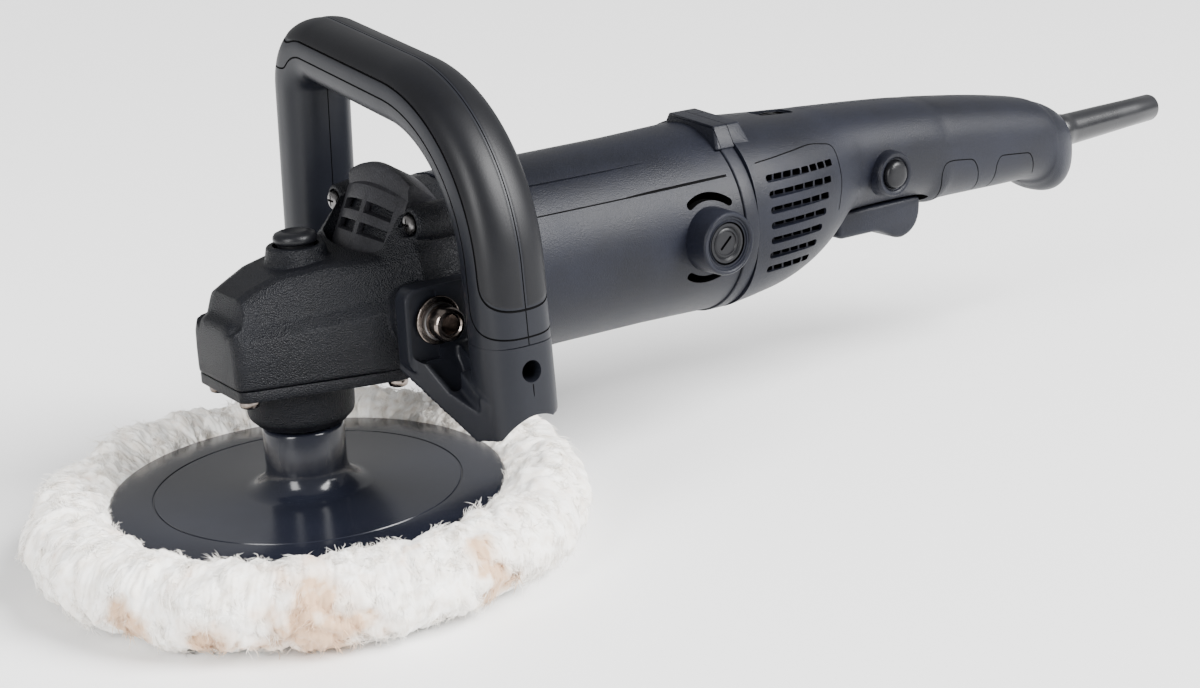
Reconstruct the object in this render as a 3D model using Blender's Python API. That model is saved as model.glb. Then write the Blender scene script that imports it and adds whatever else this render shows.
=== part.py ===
"""Rotary polisher with a D-handle and a lambswool bonnet.

Frame: the origin is the centre of the wool's working face, on the spindle's axis. +Z runs up the
spindle, +X runs back along the motor to the rear handle, and -Y is the side with the near grip
leg. Lengths are in metres.
"""

import math

import bmesh
import bpy
from mathutils import Vector

# Driving dimensions
PLATE_R = 0.075            # backing plate
RIM_Z = 0.026              # top of the backing plate
PLATE_T = 0.0055
BONNET_R = 0.1055
HUB_R = 0.0153
HUB_TOP = RIM_Z + 0.0247
NECK_R = 0.020             # spindle neck under the gearbox
FLANGE_Z = 0.0695          # underside of the gearbox flange
FLANGE_T = 0.004
MOTOR_Z = 0.097            # height of the motor's axis
HOUSING_R = 0.0386
SEAM_R = 0.0405
GEARBOX_BACK = 0.062
SEAM_X = 0.185             # joint of motor housing and middle ring
REAR_X = 0.192             # joint of middle ring and rear handle
BRUSH_X = 0.168
LOCK_X = 0.0040            # spindle lock button
BOLT_X = 0.034             # D-handle bolts
BOLT_Z = 0.0935
LUG_Y = 0.0390             # inner face of the D-handle's lugs
LUG_T = 0.0072
GRIP_X = 0.0497            # middle plane of the D-handle
GRIP_A = 0.01425           # half width of the grip along X
GRIP_B = 0.0125            # half thickness of the grip in the loop's plane
DIAL_X = 0.2335            # speed wheel
DIAL_Z = 0.1255
DIAL_R = 0.0085
BUTTON_X = 0.2770          # lock-on button
BUTTON_Z = 0.1045
CORD_Z = 0.0975            # cord's axis at the sleeve
GAP = 0.0003               # clearance between touching pieces

RING_TEETH = 32
PINION_TEETH = 8
RING_GEAR_R = 0.021
PINION_R = RING_GEAR_R * PINION_TEETH / RING_TEETH

CORD_D = 0.008
SLEEVE_START = 0.4175
SLEEVE_END = 0.488
SLEEVE_RISE = 0.034        # per unit of length
WELD = 0.000002


# --- materials -------------------------------------------------------------------------------

def material(name, colour, roughness, metallic=0.0):
    found = bpy.data.materials.get(name)
    if found:
        return found
    made = bpy.data.materials.new(name)
    made.use_nodes = True
    shader = made.node_tree.nodes["Principled BSDF"]
    shader.inputs["Base Color"].default_value = (*colour, 1.0)
    shader.inputs["Roughness"].default_value = roughness
    shader.inputs["Metallic"].default_value = metallic
    made.diffuse_color = (*colour, 1.0)
    return made


def charcoal():
    return material("charcoal_plastic", (0.035, 0.038, 0.050), 0.45)


def casting():
    return material("wrinkle_paint", (0.016, 0.016, 0.018), 0.60)


def soft_rubber():
    return material("soft_rubber", (0.022, 0.023, 0.028), 0.55)


def plate_nylon():
    return material("plate_nylon", (0.045, 0.048, 0.062), 0.32)


def steel():
    return material("bright_steel", (0.60, 0.59, 0.57), 0.25, 1.0)


def dark_steel():
    return material("dark_steel", (0.20, 0.19, 0.19), 0.35, 1.0)


def copper():
    return material("enamelled_copper", (0.60, 0.25, 0.10), 0.35, 1.0)


def brass():
    return material("brass", (0.70, 0.52, 0.22), 0.30, 1.0)


def carbon():
    return material("carbon", (0.030, 0.030, 0.032), 0.70)


def wool():
    return material("lambswool", (0.80, 0.77, 0.70), 0.95)


def glass_nylon():
    return material("glass_nylon", (0.06, 0.06, 0.065), 0.50)


# --- mesh helpers ----------------------------------------------------------------------------

def made(name, points, faces, finish, smooth_deg=35.0):
    mesh = bpy.data.meshes.new(name)
    mesh.from_pydata([tuple(p) for p in points], [], faces)
    mesh.update()
    mesh.shade_smooth()
    mesh.set_sharp_from_angle(angle=math.radians(smooth_deg))
    mesh.materials.append(finish)
    obj = bpy.data.objects.new(name, mesh)
    bpy.context.scene.collection.objects.link(obj)
    return obj


def lofted(name, rings, finish, smooth_deg=35.0):
    """A closed solid through rings of equal length. Each ring runs counter-clockwise as seen
    from the first ring's outside, looking along the loft."""
    count = len(rings[0])
    points = [p for ring in rings for p in ring]
    faces = []
    for k in range(len(rings) - 1):
        for i in range(count):
            j = (i + 1) % count
            faces.append((k * count + i, k * count + j, (k + 1) * count + j, (k + 1) * count + i))
    last = (len(rings) - 1) * count
    faces.append(tuple(reversed(range(count))))
    faces.append(tuple(last + i for i in range(count)))
    obj = made(name, points, faces, finish, smooth_deg)
    turned_out(obj)
    return obj


def turned_out(obj):
    """Flips the faces of a closed mesh whose volume comes out negative."""
    mesh = obj.data
    mesh.calc_loop_triangles()
    volume = 0.0
    for tri in mesh.loop_triangles:
        a, b, c = (mesh.vertices[v].co for v in tri.vertices)
        volume += a.dot(b.cross(c))
    if volume < 0:
        mesh.flip_normals()


def turned(name, profile, finish, axis="Z", at=(0, 0, 0), steps=32, smooth_deg=35.0):
    """A body of revolution. The profile is a closed outline of (radius, height) points; a
    radius of zero closes the body on its axis."""
    points, index = [], []
    for radius, height in profile:
        row = []
        for i in range(steps if radius > 0 else 1):
            angle = 2 * math.pi * i / steps
            row.append(len(points))
            points.append(around(axis, radius, angle, height, at))
        index.append(row)
    faces = []
    for k in range(len(profile)):
        low, high = index[k], index[(k + 1) % len(profile)]
        if len(low) == 1 and len(high) == 1:
            continue
        for i in range(steps):
            j = (i + 1) % steps
            corner = [low[i % len(low)], low[j % len(low)], high[j % len(high)], high[i % len(high)]]
            faces.append(tuple(dict.fromkeys(corner)))
    obj = made(name, points, faces, finish, smooth_deg)
    turned_out(obj)
    return obj


def around(axis, radius, angle, height, at):
    a, b = radius * math.cos(angle), radius * math.sin(angle)
    local = {"X": (height, a, b), "Y": (b, height, a), "Z": (a, b, height)}[axis]
    return Vector(local) + Vector(at)


def cylinder(name, radius, low, high, finish, axis="Z", at=(0, 0, 0), steps=24, chamfer=0.0):
    if chamfer:
        profile = [(0, low), (radius - chamfer, low), (radius, low + chamfer),
                   (radius, high - chamfer), (radius - chamfer, high), (0, high)]
    else:
        profile = [(0, low), (radius, low), (radius, high), (0, high)]
    return turned(name, profile, finish, axis, at, steps)


def tube(name, inner, outer, low, high, finish, axis="Z", at=(0, 0, 0), steps=24):
    profile = [(inner, low), (outer, low), (outer, high), (inner, high)]
    return turned(name, profile, finish, axis, at, steps)


def prism(name, outline, low, high, finish, axis="Z"):
    """An outline of (a, b) points, extruded along an axis."""
    order = {"X": lambda a, b, h: (h, a, b), "Y": lambda a, b, h: (a, h, b),
             "Z": lambda a, b, h: (a, b, h)}[axis]
    rings = [[Vector(order(a, b, h)) for a, b in outline] for h in (low, high)]
    return lofted(name, rings, finish)


def block(name, low, high, finish):
    outline = [(low[0], low[1]), (high[0], low[1]), (high[0], high[1]), (low[0], high[1])]
    return prism(name, outline, low[2], high[2], finish)


def rounded(x0, y0, x1, y1, radius, per_corner=4):
    """The outline of a rectangle with round corners."""
    centres = [(x1 - radius, y0 + radius, -90), (x1 - radius, y1 - radius, 0),
               (x0 + radius, y1 - radius, 90), (x0 + radius, y0 + radius, 180)]
    outline = []
    for cx, cy, start in centres:
        for i in range(per_corner + 1):
            angle = math.radians(start + 90 * i / per_corner)
            outline.append((cx + radius * math.cos(angle), cy + radius * math.sin(angle)))
    return outline


def combine(obj, other, operation):
    """Applies a Boolean at once and removes the other object."""
    modifier = obj.modifiers.new("shape", "BOOLEAN")
    modifier.object = other
    modifier.operation = operation
    modifier.solver = "EXACT"
    bpy.context.view_layer.update()
    graph = bpy.context.evaluated_depsgraph_get()
    mesh = bpy.data.meshes.new_from_object(obj.evaluated_get(graph))
    obj.modifiers.remove(modifier)
    old = obj.data
    obj.data = mesh
    bpy.data.meshes.remove(old)
    mesh.name = obj.name
    bpy.data.objects.remove(other)
    welded(mesh)
    mesh.set_sharp_from_angle(angle=math.radians(35))
    return obj


def welded(mesh):
    """Joins the points that a Boolean leaves within two micrometres of each other."""
    work = bmesh.new()
    work.from_mesh(mesh)
    bmesh.ops.remove_doubles(work, verts=work.verts, dist=WELD)
    bmesh.ops.dissolve_degenerate(work, edges=work.edges, dist=WELD)
    work.to_mesh(mesh)
    work.free()


def cut(obj, other):
    return combine(obj, other, "DIFFERENCE")


def join(obj, other):
    return combine(obj, other, "UNION")


def keep(obj, other):
    return combine(obj, other, "INTERSECT")


def copy_of(obj, name):
    twin = obj.copy()
    twin.data = obj.data.copy()
    twin.name = name
    twin.data.name = name
    bpy.context.scene.collection.objects.link(twin)
    return twin


# --- wool, plate and spindle -----------------------------------------------------------------

def wool_bonnet():
    profile = [(0, 0), (0.088, 0), (0.0995, 0.0035), (BONNET_R, 0.0125), (BONNET_R, 0.0205),
               (0.101, 0.0285), (0.092, 0.0320), (0.083, 0.0305), (0.0775, 0.0262),
               (0.0760, 0.0180), (0, 0.0180)]
    return turned("wool_bonnet", profile, wool(), steps=40, smooth_deg=60)


def hook_disc():
    return cylinder("hook_disc", PLATE_R - 0.002, 0.0183, RIM_Z - PLATE_T - GAP, soft_rubber(),
                    steps=32)


def backing_plate():
    profile = [(0.0078, RIM_Z - PLATE_T), (PLATE_R - 0.0010, RIM_Z - PLATE_T),
               (PLATE_R, RIM_Z - PLATE_T + 0.0010), (PLATE_R, RIM_Z - 0.0012),
               (PLATE_R - 0.0012, RIM_Z), (0.0218, RIM_Z), (0.0205, RIM_Z + 0.0045),
               (0.0160, RIM_Z + 0.0078), (HUB_R, RIM_Z + 0.0098), (HUB_R, HUB_TOP - 0.0010),
               (HUB_R - 0.0010, HUB_TOP), (0.0100, HUB_TOP), (0.0100, RIM_Z + 0.0010),
               (0.0078, RIM_Z + 0.0010)]
    return turned("backing_plate", profile, plate_nylon(), steps=40)


def hub_insert():
    return tube("hub_insert", 0.0073, 0.0097, RIM_Z + 0.0013, HUB_TOP - 0.0005, steel())


def spindle():
    profile = [(0, RIM_Z - 0.0030), (0.0060, RIM_Z - 0.0030), (0.0070, RIM_Z - 0.0015),
               (0.0070, HUB_TOP + GAP), (0.0098, HUB_TOP + GAP), (0.0098, HUB_TOP + 0.0060),
               (0.0075, HUB_TOP + 0.0060), (0.0075, 0.0820), (0.0062, 0.0820),
               (0.0062, 0.0985), (0, 0.0985)]
    return turned("spindle", profile, steel(), steps=24)


def bearing(name, inner, outer, low, high, axis="Z", at=(0, 0, 0)):
    return tube(name, inner, outer, low, high, steel(), axis, at, steps=20)


def ring_gear():
    """A straight bevel wheel whose teeth all point at the crossing of the two axes."""
    slope = PINION_R / RING_GEAR_R
    inner_share = 0.64
    addendum, dedendum = 0.0005, 0.0009
    rows = [[], [], [], []]
    base_z = MOTOR_Z - 0.0115
    for i in range(RING_TEETH):
        for at, height in ((-0.36, -dedendum), (-0.16, addendum), (0.16, addendum), (0.36, -dedendum)):
            angle = 2 * math.pi * (i + 0.5 + at) / RING_TEETH
            for row, share in ((1, 1.0), (2, inner_share)):
                radius = RING_GEAR_R * share
                z = MOTOR_Z - slope * radius + height * share
                rows[row].append(Vector((radius * math.cos(angle), radius * math.sin(angle), z)))
            for row, radius in ((0, RING_GEAR_R), (3, 0.0066)):
                z = base_z if row == 0 else MOTOR_Z - slope * RING_GEAR_R * inner_share - 0.0016
                rows[row].append(Vector((radius * math.cos(angle), radius * math.sin(angle), z)))
    count = len(rows[0])
    low = [Vector((p.x, p.y, base_z)) for p in rows[3]]
    rings = [low] + rows
    points = [p for ring in rings for p in ring]
    faces = []
    for k in range(len(rings)):
        after = (k + 1) % len(rings)
        for i in range(count):
            j = (i + 1) % count
            faces.append((k * count + i, k * count + j, after * count + j, after * count + i))
    gear = made("ring_gear", points, faces, dark_steel(), smooth_deg=20)
    turned_out(gear)
    for i in range(4):
        angle = math.pi * i / 2
        at = (0.0100 * math.cos(angle), 0.0100 * math.sin(angle), 0)
        cut(gear, cylinder("lock_hole", 0.0028, base_z - 0.001, MOTOR_Z, dark_steel(), at=at, steps=8))
    return gear


def pinion_gear():
    """The motor's bevel pinion. One of its teeth points straight down into the wheel."""
    low, high = 0.0142, RING_GEAR_R
    addendum, dedendum = 0.0005, 0.0009
    rings = []
    for x, share in ((low, low / high), (high, 1.0)):
        ring = []
        for i in range(PINION_TEETH):
            for at, height in ((-0.36, -dedendum), (-0.16, addendum), (0.16, addendum),
                               (0.36, -dedendum)):
                angle = 2 * math.pi * (i + at) / PINION_TEETH - math.pi / 2
                radius = (PINION_R + height) * share
                ring.append(Vector((x, radius * math.cos(angle), MOTOR_Z + radius * math.sin(angle))))
        rings.append(ring)
    hub = 0.0040
    for x in (high, 0.0300):
        ring = []
        for p in rings[1]:
            angle = math.atan2(p.z - MOTOR_Z, p.y)
            ring.append(Vector((x, hub * math.cos(angle), MOTOR_Z + hub * math.sin(angle))))
        rings.append(ring)
    return lofted("pinion_gear", rings, dark_steel(), smooth_deg=20)


# --- gearbox ---------------------------------------------------------------------------------

# x, half width, bottom, shoulder height, inset above the shoulder, top
NOSE = [(-0.0358, 0.0130, 0.0760, 0.0890, 0.0022, 0.0935),
        (-0.0346, 0.0165, 0.0742, 0.0912, 0.0030, 0.0955),
        (-0.0325, 0.0183, 0.0738, 0.0922, 0.0032, 0.0968),
        (-0.0300, 0.0192, 0.0738, 0.0928, 0.0036, 0.0976),
        (-0.0286, 0.0197, 0.0738, 0.0930, 0.0040, 0.0990),
        (-0.0256, 0.0206, 0.0738, 0.0933, 0.0046, 0.1058),
        (-0.0200, 0.0222, 0.0738, 0.0936, 0.0054, 0.1084),
        (-0.0110, 0.0248, 0.0738, 0.0942, 0.0058, 0.1120),
        (0.0060, 0.0298, 0.0738, 0.0955, 0.0058, 0.1140),
        (0.0200, 0.0339, 0.0738, 0.0975, 0.0052, 0.1141),
        (0.0258, 0.0354, 0.0738, 0.0985, 0.0045, 0.1146)]


def nose_half(row):
    """Thirteen points from the bottom centre, round the near side, to the top centre."""
    _, width, bottom, shoulder, inset, top = row
    upper = width - inset
    edge = 0.0012
    crown = min(0.0078, upper * 0.45)
    return [(0.0, bottom), (width * 0.5, bottom), (width - edge, bottom),
            (width - 0.3 * edge, bottom + 0.3 * edge), (width, bottom + edge),
            (width, 0.5 * (bottom + edge + shoulder)), (width - 0.0006, shoulder - 0.0015),
            (upper, shoulder + 0.0030), (upper - 0.28 * crown, top - 0.45 * crown),
            (upper - 0.54 * crown, top - 0.15 * crown), (upper - crown, top), (upper * 0.35, top),
            (0.0, top)]


def drum_half(radius):
    angles = [-90, -75, -61, -47, -33, -18, -3, 12, 27, 43, 59, 75, 90]
    return [(radius * math.cos(math.radians(a)), MOTOR_Z + radius * math.sin(math.radians(a)))
            for a in angles]


def half_ring(x, half):
    near = [Vector((x, -y, z)) for y, z in half]
    far = [Vector((x, y, z)) for y, z in reversed(half[1:-1])]
    return near + far


def gearbox_housing():
    rings = [half_ring(row[0], nose_half(row)) for row in NOSE]
    last = nose_half(NOSE[-1])
    drum = drum_half(HOUSING_R - 0.0002)
    for x, under, over in ((0.0305, 0.0, 0.45), (0.0355, 0.48, 1.0), (0.0420, 0.90, 1.0),
                           (0.0480, 1.0, 1.0), (GEARBOX_BACK, 1.0, 1.0)):
        half = []
        for a, b in zip(last, drum):
            rise = min(1.0, max(0.0, (a[1] - 0.0850) / 0.0150))
            share = under + (over - under) * rise
            half.append(((1 - share) * a[0] + share * b[0], (1 - share) * a[1] + share * b[1]))
        rings.append(half_ring(x, half))
    box = lofted("gearbox_housing", rings, casting())
    boss = [(0, 0.1050), (0.0134, 0.1050), (0.0109, 0.1184), (0.0104, 0.1190), (0, 0.1190)]
    join(box, turned("boss", boss, casting(), at=(LOCK_X, 0, 0), steps=24))
    for side in (-1, 1):
        join(box, cylinder("ear", 0.0072, 0.0385, 0.0580, casting(), "X", (0, side * EAR_Y, EAR_Z), 20))
    for side in (-1, 1):
        low, high = sorted((side * (HOOD_HALF + GAP), side * 0.0333))
        cut(box, prism("ear_pocket", rounded(low, 0.1212, high, 0.1500, 0.0022, 3), 0.0200, 0.0378,
                       casting(), "X"))
        cut(box, cylinder("thread", 0.0017, 0.0370, 0.0512, casting(), "X", (0, side * EAR_Y, EAR_Z), 8))
    cut(box, hood_solid("hood_seat", HOOD_SEAT, HOOD_HALF + GAP))
    pads = cylinder("pads", 0.0125, -LUG_Y + GAP, LUG_Y - GAP, casting(), "Y", (BOLT_X, 0, BOLT_Z), 20)
    join(box, pads)
    gear_room = [(0, 0.0700), (0.0214, 0.0700), (0.0214, 0.0932), (0.0150, 0.1010), (0, 0.1010)]
    cut(box, turned("gear_room", gear_room, casting(), steps=28))
    motor_room = [(0, -0.006), (0.0090, -0.006), (0.0110, 0.030), (0.0133, 0.0305), (0.0133, 0.0462),
                  (0.0300, 0.0500), (0.0345, 0.0640), (0, 0.0640)]
    cut(box, turned("motor_room", motor_room, casting(), "X", (0, 0, MOTOR_Z), steps=24))
    cut(box, sector("duct", 0.0150, 0.0470, 27, 90, 0.0340, 0.0560, casting(), steps=6))
    cut(box, cylinder("button_bore", 0.0070, 0.1108, 0.1300, casting(), at=(LOCK_X, 0, 0), steps=20))
    cut(box, cylinder("cap_bore", 0.0086, 0.1149, 0.1300, casting(), at=(LOCK_X, 0, 0), steps=24))
    cut(box, cylinder("pin_bore", 0.0024, 0.0980, 0.1166, casting(), at=(0.0100, 0, 0), steps=10))
    for side in (-1, 1):
        low, high = sorted((side * 0.0250, side * 0.0450))
        cut(box, cylinder("bolt_bore", 0.0043, low, high, casting(), "Y", (BOLT_X, 0, BOLT_Z), 12))
    for x, y in FLANGE_SCREWS:
        cut(box, cylinder("screw_bore", 0.0022, 0.0730, 0.0835, casting(), at=(x, y, 0), steps=10))
    return box


FLANGE_SCREWS = [(-0.0262, -0.0125), (-0.0262, 0.0125), (0.0262, -0.0285), (0.0262, 0.0285)]


def bearing_flange():
    """The cast neck that carries the spindle's bearings, with its wedge-shaped flange."""
    half = [(-0.0350, 0.0), (-0.0350, 0.0140), (-0.0338, 0.0168), (-0.0308, 0.0186),
            (-0.0262, 0.0201), (0.0060, 0.0296), (0.0240, 0.0345), (0.0280, 0.0345),
            (0.0296, 0.0330), (0.0296, 0.0)]
    outline = [(x, -y) for x, y in half] + [(x, y) for x, y in reversed(half[1:-1])]
    flange = prism("bearing_flange", outline, FLANGE_Z, FLANGE_Z + FLANGE_T, casting())
    neck = [(0, HUB_TOP + 0.0013), (0.0165, HUB_TOP + 0.0013), (0.0195, 0.0550), (NECK_R, 0.0565),
            (NECK_R + 0.0006, FLANGE_Z + 0.0010), (0, FLANGE_Z + 0.0010)]
    join(flange, turned("neck", neck, casting(), steps=32))
    collar = [(0, 0.0720), (0.0205, 0.0720), (0.0205, 0.0790), (0, 0.0790)]
    join(flange, turned("collar", collar, casting(), steps=24))
    bore = [(0, 0.0400), (0.0104, 0.0400), (0.0104, 0.0580), (0.0160, 0.0580), (0.0160, 0.0850),
            (0, 0.0850)]
    cut(flange, turned("bore", bore, casting(), steps=24))
    for x, y in FLANGE_SCREWS:
        cut(flange, cylinder("screw_hole", 0.0023, 0.0650, 0.0760, casting(), at=(x, y, 0), steps=10))
    return flange


def screw(name, at, axis, low, high, head_r, head_t, shank_r, finish, head_low=True):
    """A screw as one turned body, with its head at the low or the high end."""
    if head_low:
        profile = [(0, low), (head_r * 0.85, low), (head_r, low + head_t * 0.3), (head_r, low + head_t),
                   (shank_r, low + head_t), (shank_r, high), (0, high)]
    else:
        profile = [(0, low), (shank_r, low), (shank_r, high - head_t), (head_r, high - head_t),
                   (head_r, high - head_t * 0.3), (head_r * 0.85, high), (0, high)]
    return turned(name, profile, finish, axis, at, steps=12)


def flange_screws():
    for number, (x, y) in enumerate(FLANGE_SCREWS, 1):
        screw(f"flange_screw_{number}", (x, y, 0), "Z", FLANGE_Z - 0.0038, 0.0828, 0.0038, 0.0035,
              0.0019, steel())


def spindle_lock_button():
    """The lock button and its pin, which drops into a hole of the bevel wheel."""
    profile = [(0, 0.1152), (0.0066, 0.1152), (0.0066, 0.1196), (0.0078, 0.1204), (0.0082, 0.1216),
               (0.0075, 0.1234), (0.0046, 0.1241), (0, 0.1241)]
    button = turned("spindle_lock_button", profile, soft_rubber(), at=(LOCK_X, 0, 0), steps=20)
    pin = cylinder("pin", 0.0019, 0.0940, 0.1160, steel(), at=(0.0100, 0, 0), steps=10)
    return join(button, pin)


# Points of the hood's section on the plane y = 0: x, z, and how far each moves back and down per
# square of y. None stands for a point that follows the gearbox's drum.
HOOD_OUTER = [(0.0247, 0.1110, 9.8, 2), (0.0364, 0.1353, 6, 8), (0.0384, 0.1359, 3, 8),
              (0.0396, 0.1414, 1, 11), (0.0410, 0.1430, 0, 11), (0.0430, 0.1430, 0, 11),
              (0.0520, 0.1376, 0, 14)]
HOOD_INNER = [(0.0520, 0.1358, 0, None), (0.0404, 0.1358, 6, None), (0.0388, 0.1336, 6, 8),
              (0.0270, 0.1110, 9.8, 2)]
HOOD_SEAT = [(0.0243, 0.1106, 9.8, 2), (0.0225, 0.1150, 9.8, 2), (0.0225, 0.1500, 0, 0),
             (0.0523, 0.1500, 0, 0), (0.0523, 0.1349, 0, 13.5), (0.0400, 0.1349, 6, 13.5),
             (0.0391, 0.1332, 6, 8), (0.0274, 0.1106, 9.8, 2)]
HOOD_HALF = 0.0222
EAR_Y, EAR_Z = 0.0285, 0.1252


def hood_ring(profile, y):
    ring = []
    for x, z, back, down in profile:
        if down is None:
            radius = z - MOTOR_Z
            ring.append(Vector((x, y, MOTOR_Z + math.sqrt(radius ** 2 - y ** 2))))
        else:
            ring.append(Vector((x + back * y * y, y, z - down * y * y)))
    return ring


def hood_solid(name, profile, half, steps=7):
    return lofted(name, [hood_ring(profile, -half + 2 * half * i / steps) for i in range(steps + 1)],
                  glass_nylon())


def vent_hood():
    """The curved cover on the back of the gearbox, whose four windows let the cooling air out."""
    hood = hood_solid("vent_hood", HOOD_OUTER + HOOD_INNER, HOOD_HALF)
    for low, high in ((0.1185, 0.1227), (0.1260, 0.1301)):
        outline = []
        for z, out in ((low, -0.004), (high, -0.004), (high, 0.006), (low, 0.006)):
            outline.append((0.0283 + 0.483 * (z - 0.1185) + out, z, 9.8, 2 + 250 * (z - 0.111)))
        for side in (-1, 1):
            rings = [hood_ring(outline, side * (0.0014 + 0.0161 * i / 4)) for i in range(5)]
            cut(hood, lofted("window", rings, glass_nylon()))
    return hood


def hood_screws():
    """The two upper screws that hold the gearbox to the motor housing, in pockets beside the hood."""
    for number, side in enumerate((-1, 1), 1):
        screw(f"hood_screw_{number}", (0, side * EAR_Y, EAR_Z), "X", 0.0342, 0.0500, 0.0036, 0.0034,
              0.0013, steel())


# --- D-handle --------------------------------------------------------------------------------

LEG_Y = 0.0698             # middle of a leg at LEG_REF
LEG_REF = 0.086
LEG_LEAN = 0.068           # how far the legs lean in per unit of height
BAR_Z = 0.1734             # middle of the bar on the plane y = 0
BAR_SLOPE = 0.142          # the bar rises towards the far side
NEAR_ROUND = 0.061
FAR_ROUND = 0.017
LEG_BOTTOM = 0.064


def loop_path():
    """Points of the grip's middle line as (y, z), from the near foot to the far foot."""
    corners = []
    for side in (-1, 1):
        y = side * (LEG_Y - LEG_LEAN * (BAR_Z - LEG_REF)) / (1 + side * LEG_LEAN * BAR_SLOPE)
        corners.append(Vector((y, BAR_Z + BAR_SLOPE * y)))
    feet = [Vector((side * (LEG_Y + LEG_LEAN * (LEG_REF - LEG_BOTTOM)), LEG_BOTTOM)) for side in (-1, 1)]
    path = [feet[0]]
    path += fillet(feet[0], corners[0], corners[1], NEAR_ROUND, 9)
    path += fillet(corners[0], corners[1], feet[1], FAR_ROUND, 7)
    path.append(feet[1])
    return path


def fillet(before, corner, after, radius, count):
    a = (before - corner).normalized()
    b = (after - corner).normalized()
    half = math.acos(max(-1, min(1, a.dot(b)))) / 2
    centre = corner + (a + b).normalized() * (radius / math.sin(half))
    start = corner + a * (radius / math.tan(half)) - centre
    end = corner + b * (radius / math.tan(half)) - centre
    first = math.atan2(start.y, start.x)
    sweep = (math.atan2(end.y, end.x) - first + math.pi) % (2 * math.pi) - math.pi
    return [centre + radius * Vector((math.cos(first + sweep * i / (count - 1)),
                                      math.sin(first + sweep * i / (count - 1))))
            for i in range(count)]


def swept(name, path, section, finish):
    """Sweeps a section of (x, outward) points along a path in a plane of constant x."""
    rings = []
    for i, point in enumerate(path):
        ahead = path[min(i + 1, len(path) - 1)] - point
        behind = point - path[max(i - 1, 0)]
        ahead = ahead.normalized() if ahead.length else behind.normalized()
        behind = behind.normalized() if behind.length else ahead
        along = (ahead + behind).normalized()
        stretch = 1 / max(0.5, along.dot(ahead))
        outward = Vector((-along.y, along.x))
        rings.append([Vector((GRIP_X + a, point.x + outward.x * b * stretch,
                              point.y + outward.y * b * stretch)) for a, b in section])
    return lofted(name, rings, finish)


def superellipse(a, b, power, count, start=0.0, end=360.0, closed=True):
    points = []
    for i in range(count if closed else count + 1):
        angle = math.radians(start + (end - start) * i / count)
        c, s = math.cos(angle), math.sin(angle)
        points.append((math.copysign(abs(c) ** (2 / power), c) * a,
                       math.copysign(abs(s) ** (2 / power), s) * b))
    return points


def hull_of(name, points, finish):
    mesh = bpy.data.meshes.new(name)
    mesh.from_pydata([tuple(p) for p in points], [], [])
    obj = bpy.data.objects.new(name, mesh)
    bpy.context.scene.collection.objects.link(obj)
    work = bmesh.new()
    work.from_mesh(mesh)
    result = bmesh.ops.convex_hull(work, input=work.verts)
    spare = [g for g in result["geom_interior"] if isinstance(g, bmesh.types.BMVert)]
    bmesh.ops.delete(work, geom=spare, context="VERTS")
    bmesh.ops.recalc_face_normals(work, faces=work.faces)
    work.to_mesh(mesh)
    work.free()
    mesh.materials.append(finish)
    return obj


def foot_parts(side):
    """The lug plate and the web that join one leg of the grip to the gearbox."""
    inner, outer = LUG_Y, LUG_Y + LUG_T
    lug = prism("lug", rounded(0.0215, 0.0750, 0.0600, 0.1065, 0.004, 2),
                *sorted((side * inner, side * outer)), charcoal(), axis="Y")
    web = hull_of("web", [Vector((x, side * y, z)) for x, y, z in (
        (0.0215, inner, 0.0752), (0.0215, inner, 0.0850), (0.0610, inner, 0.0750),
        (0.0610, inner, 0.0860), (0.0330, 0.0700, 0.0530), (0.0330, 0.0700, 0.0640),
        (0.0355, 0.0760, 0.0545), (0.0355, 0.0760, 0.0680), (0.0640, 0.0700, 0.0610),
        (0.0640, 0.0700, 0.0760))], charcoal())
    leg = hull_of("leg", [Vector((x, side * y, z)) for x, y, z in (
        (0.0350, 0.0575, 0.0600), (0.0350, 0.0575, 0.0860), (0.0640, 0.0575, 0.0640),
        (0.0640, 0.0575, 0.0860), (0.0335, 0.0740, 0.0535), (0.0350, 0.0740, 0.0860),
        (0.0395, 0.0832, 0.0555), (0.0395, 0.0822, 0.0860), (0.0600, 0.0832, 0.0605),
        (0.0600, 0.0822, 0.0860), (0.0645, 0.0760, 0.0620), (0.0645, 0.0760, 0.0860))], charcoal())
    return lug, web, leg


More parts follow.
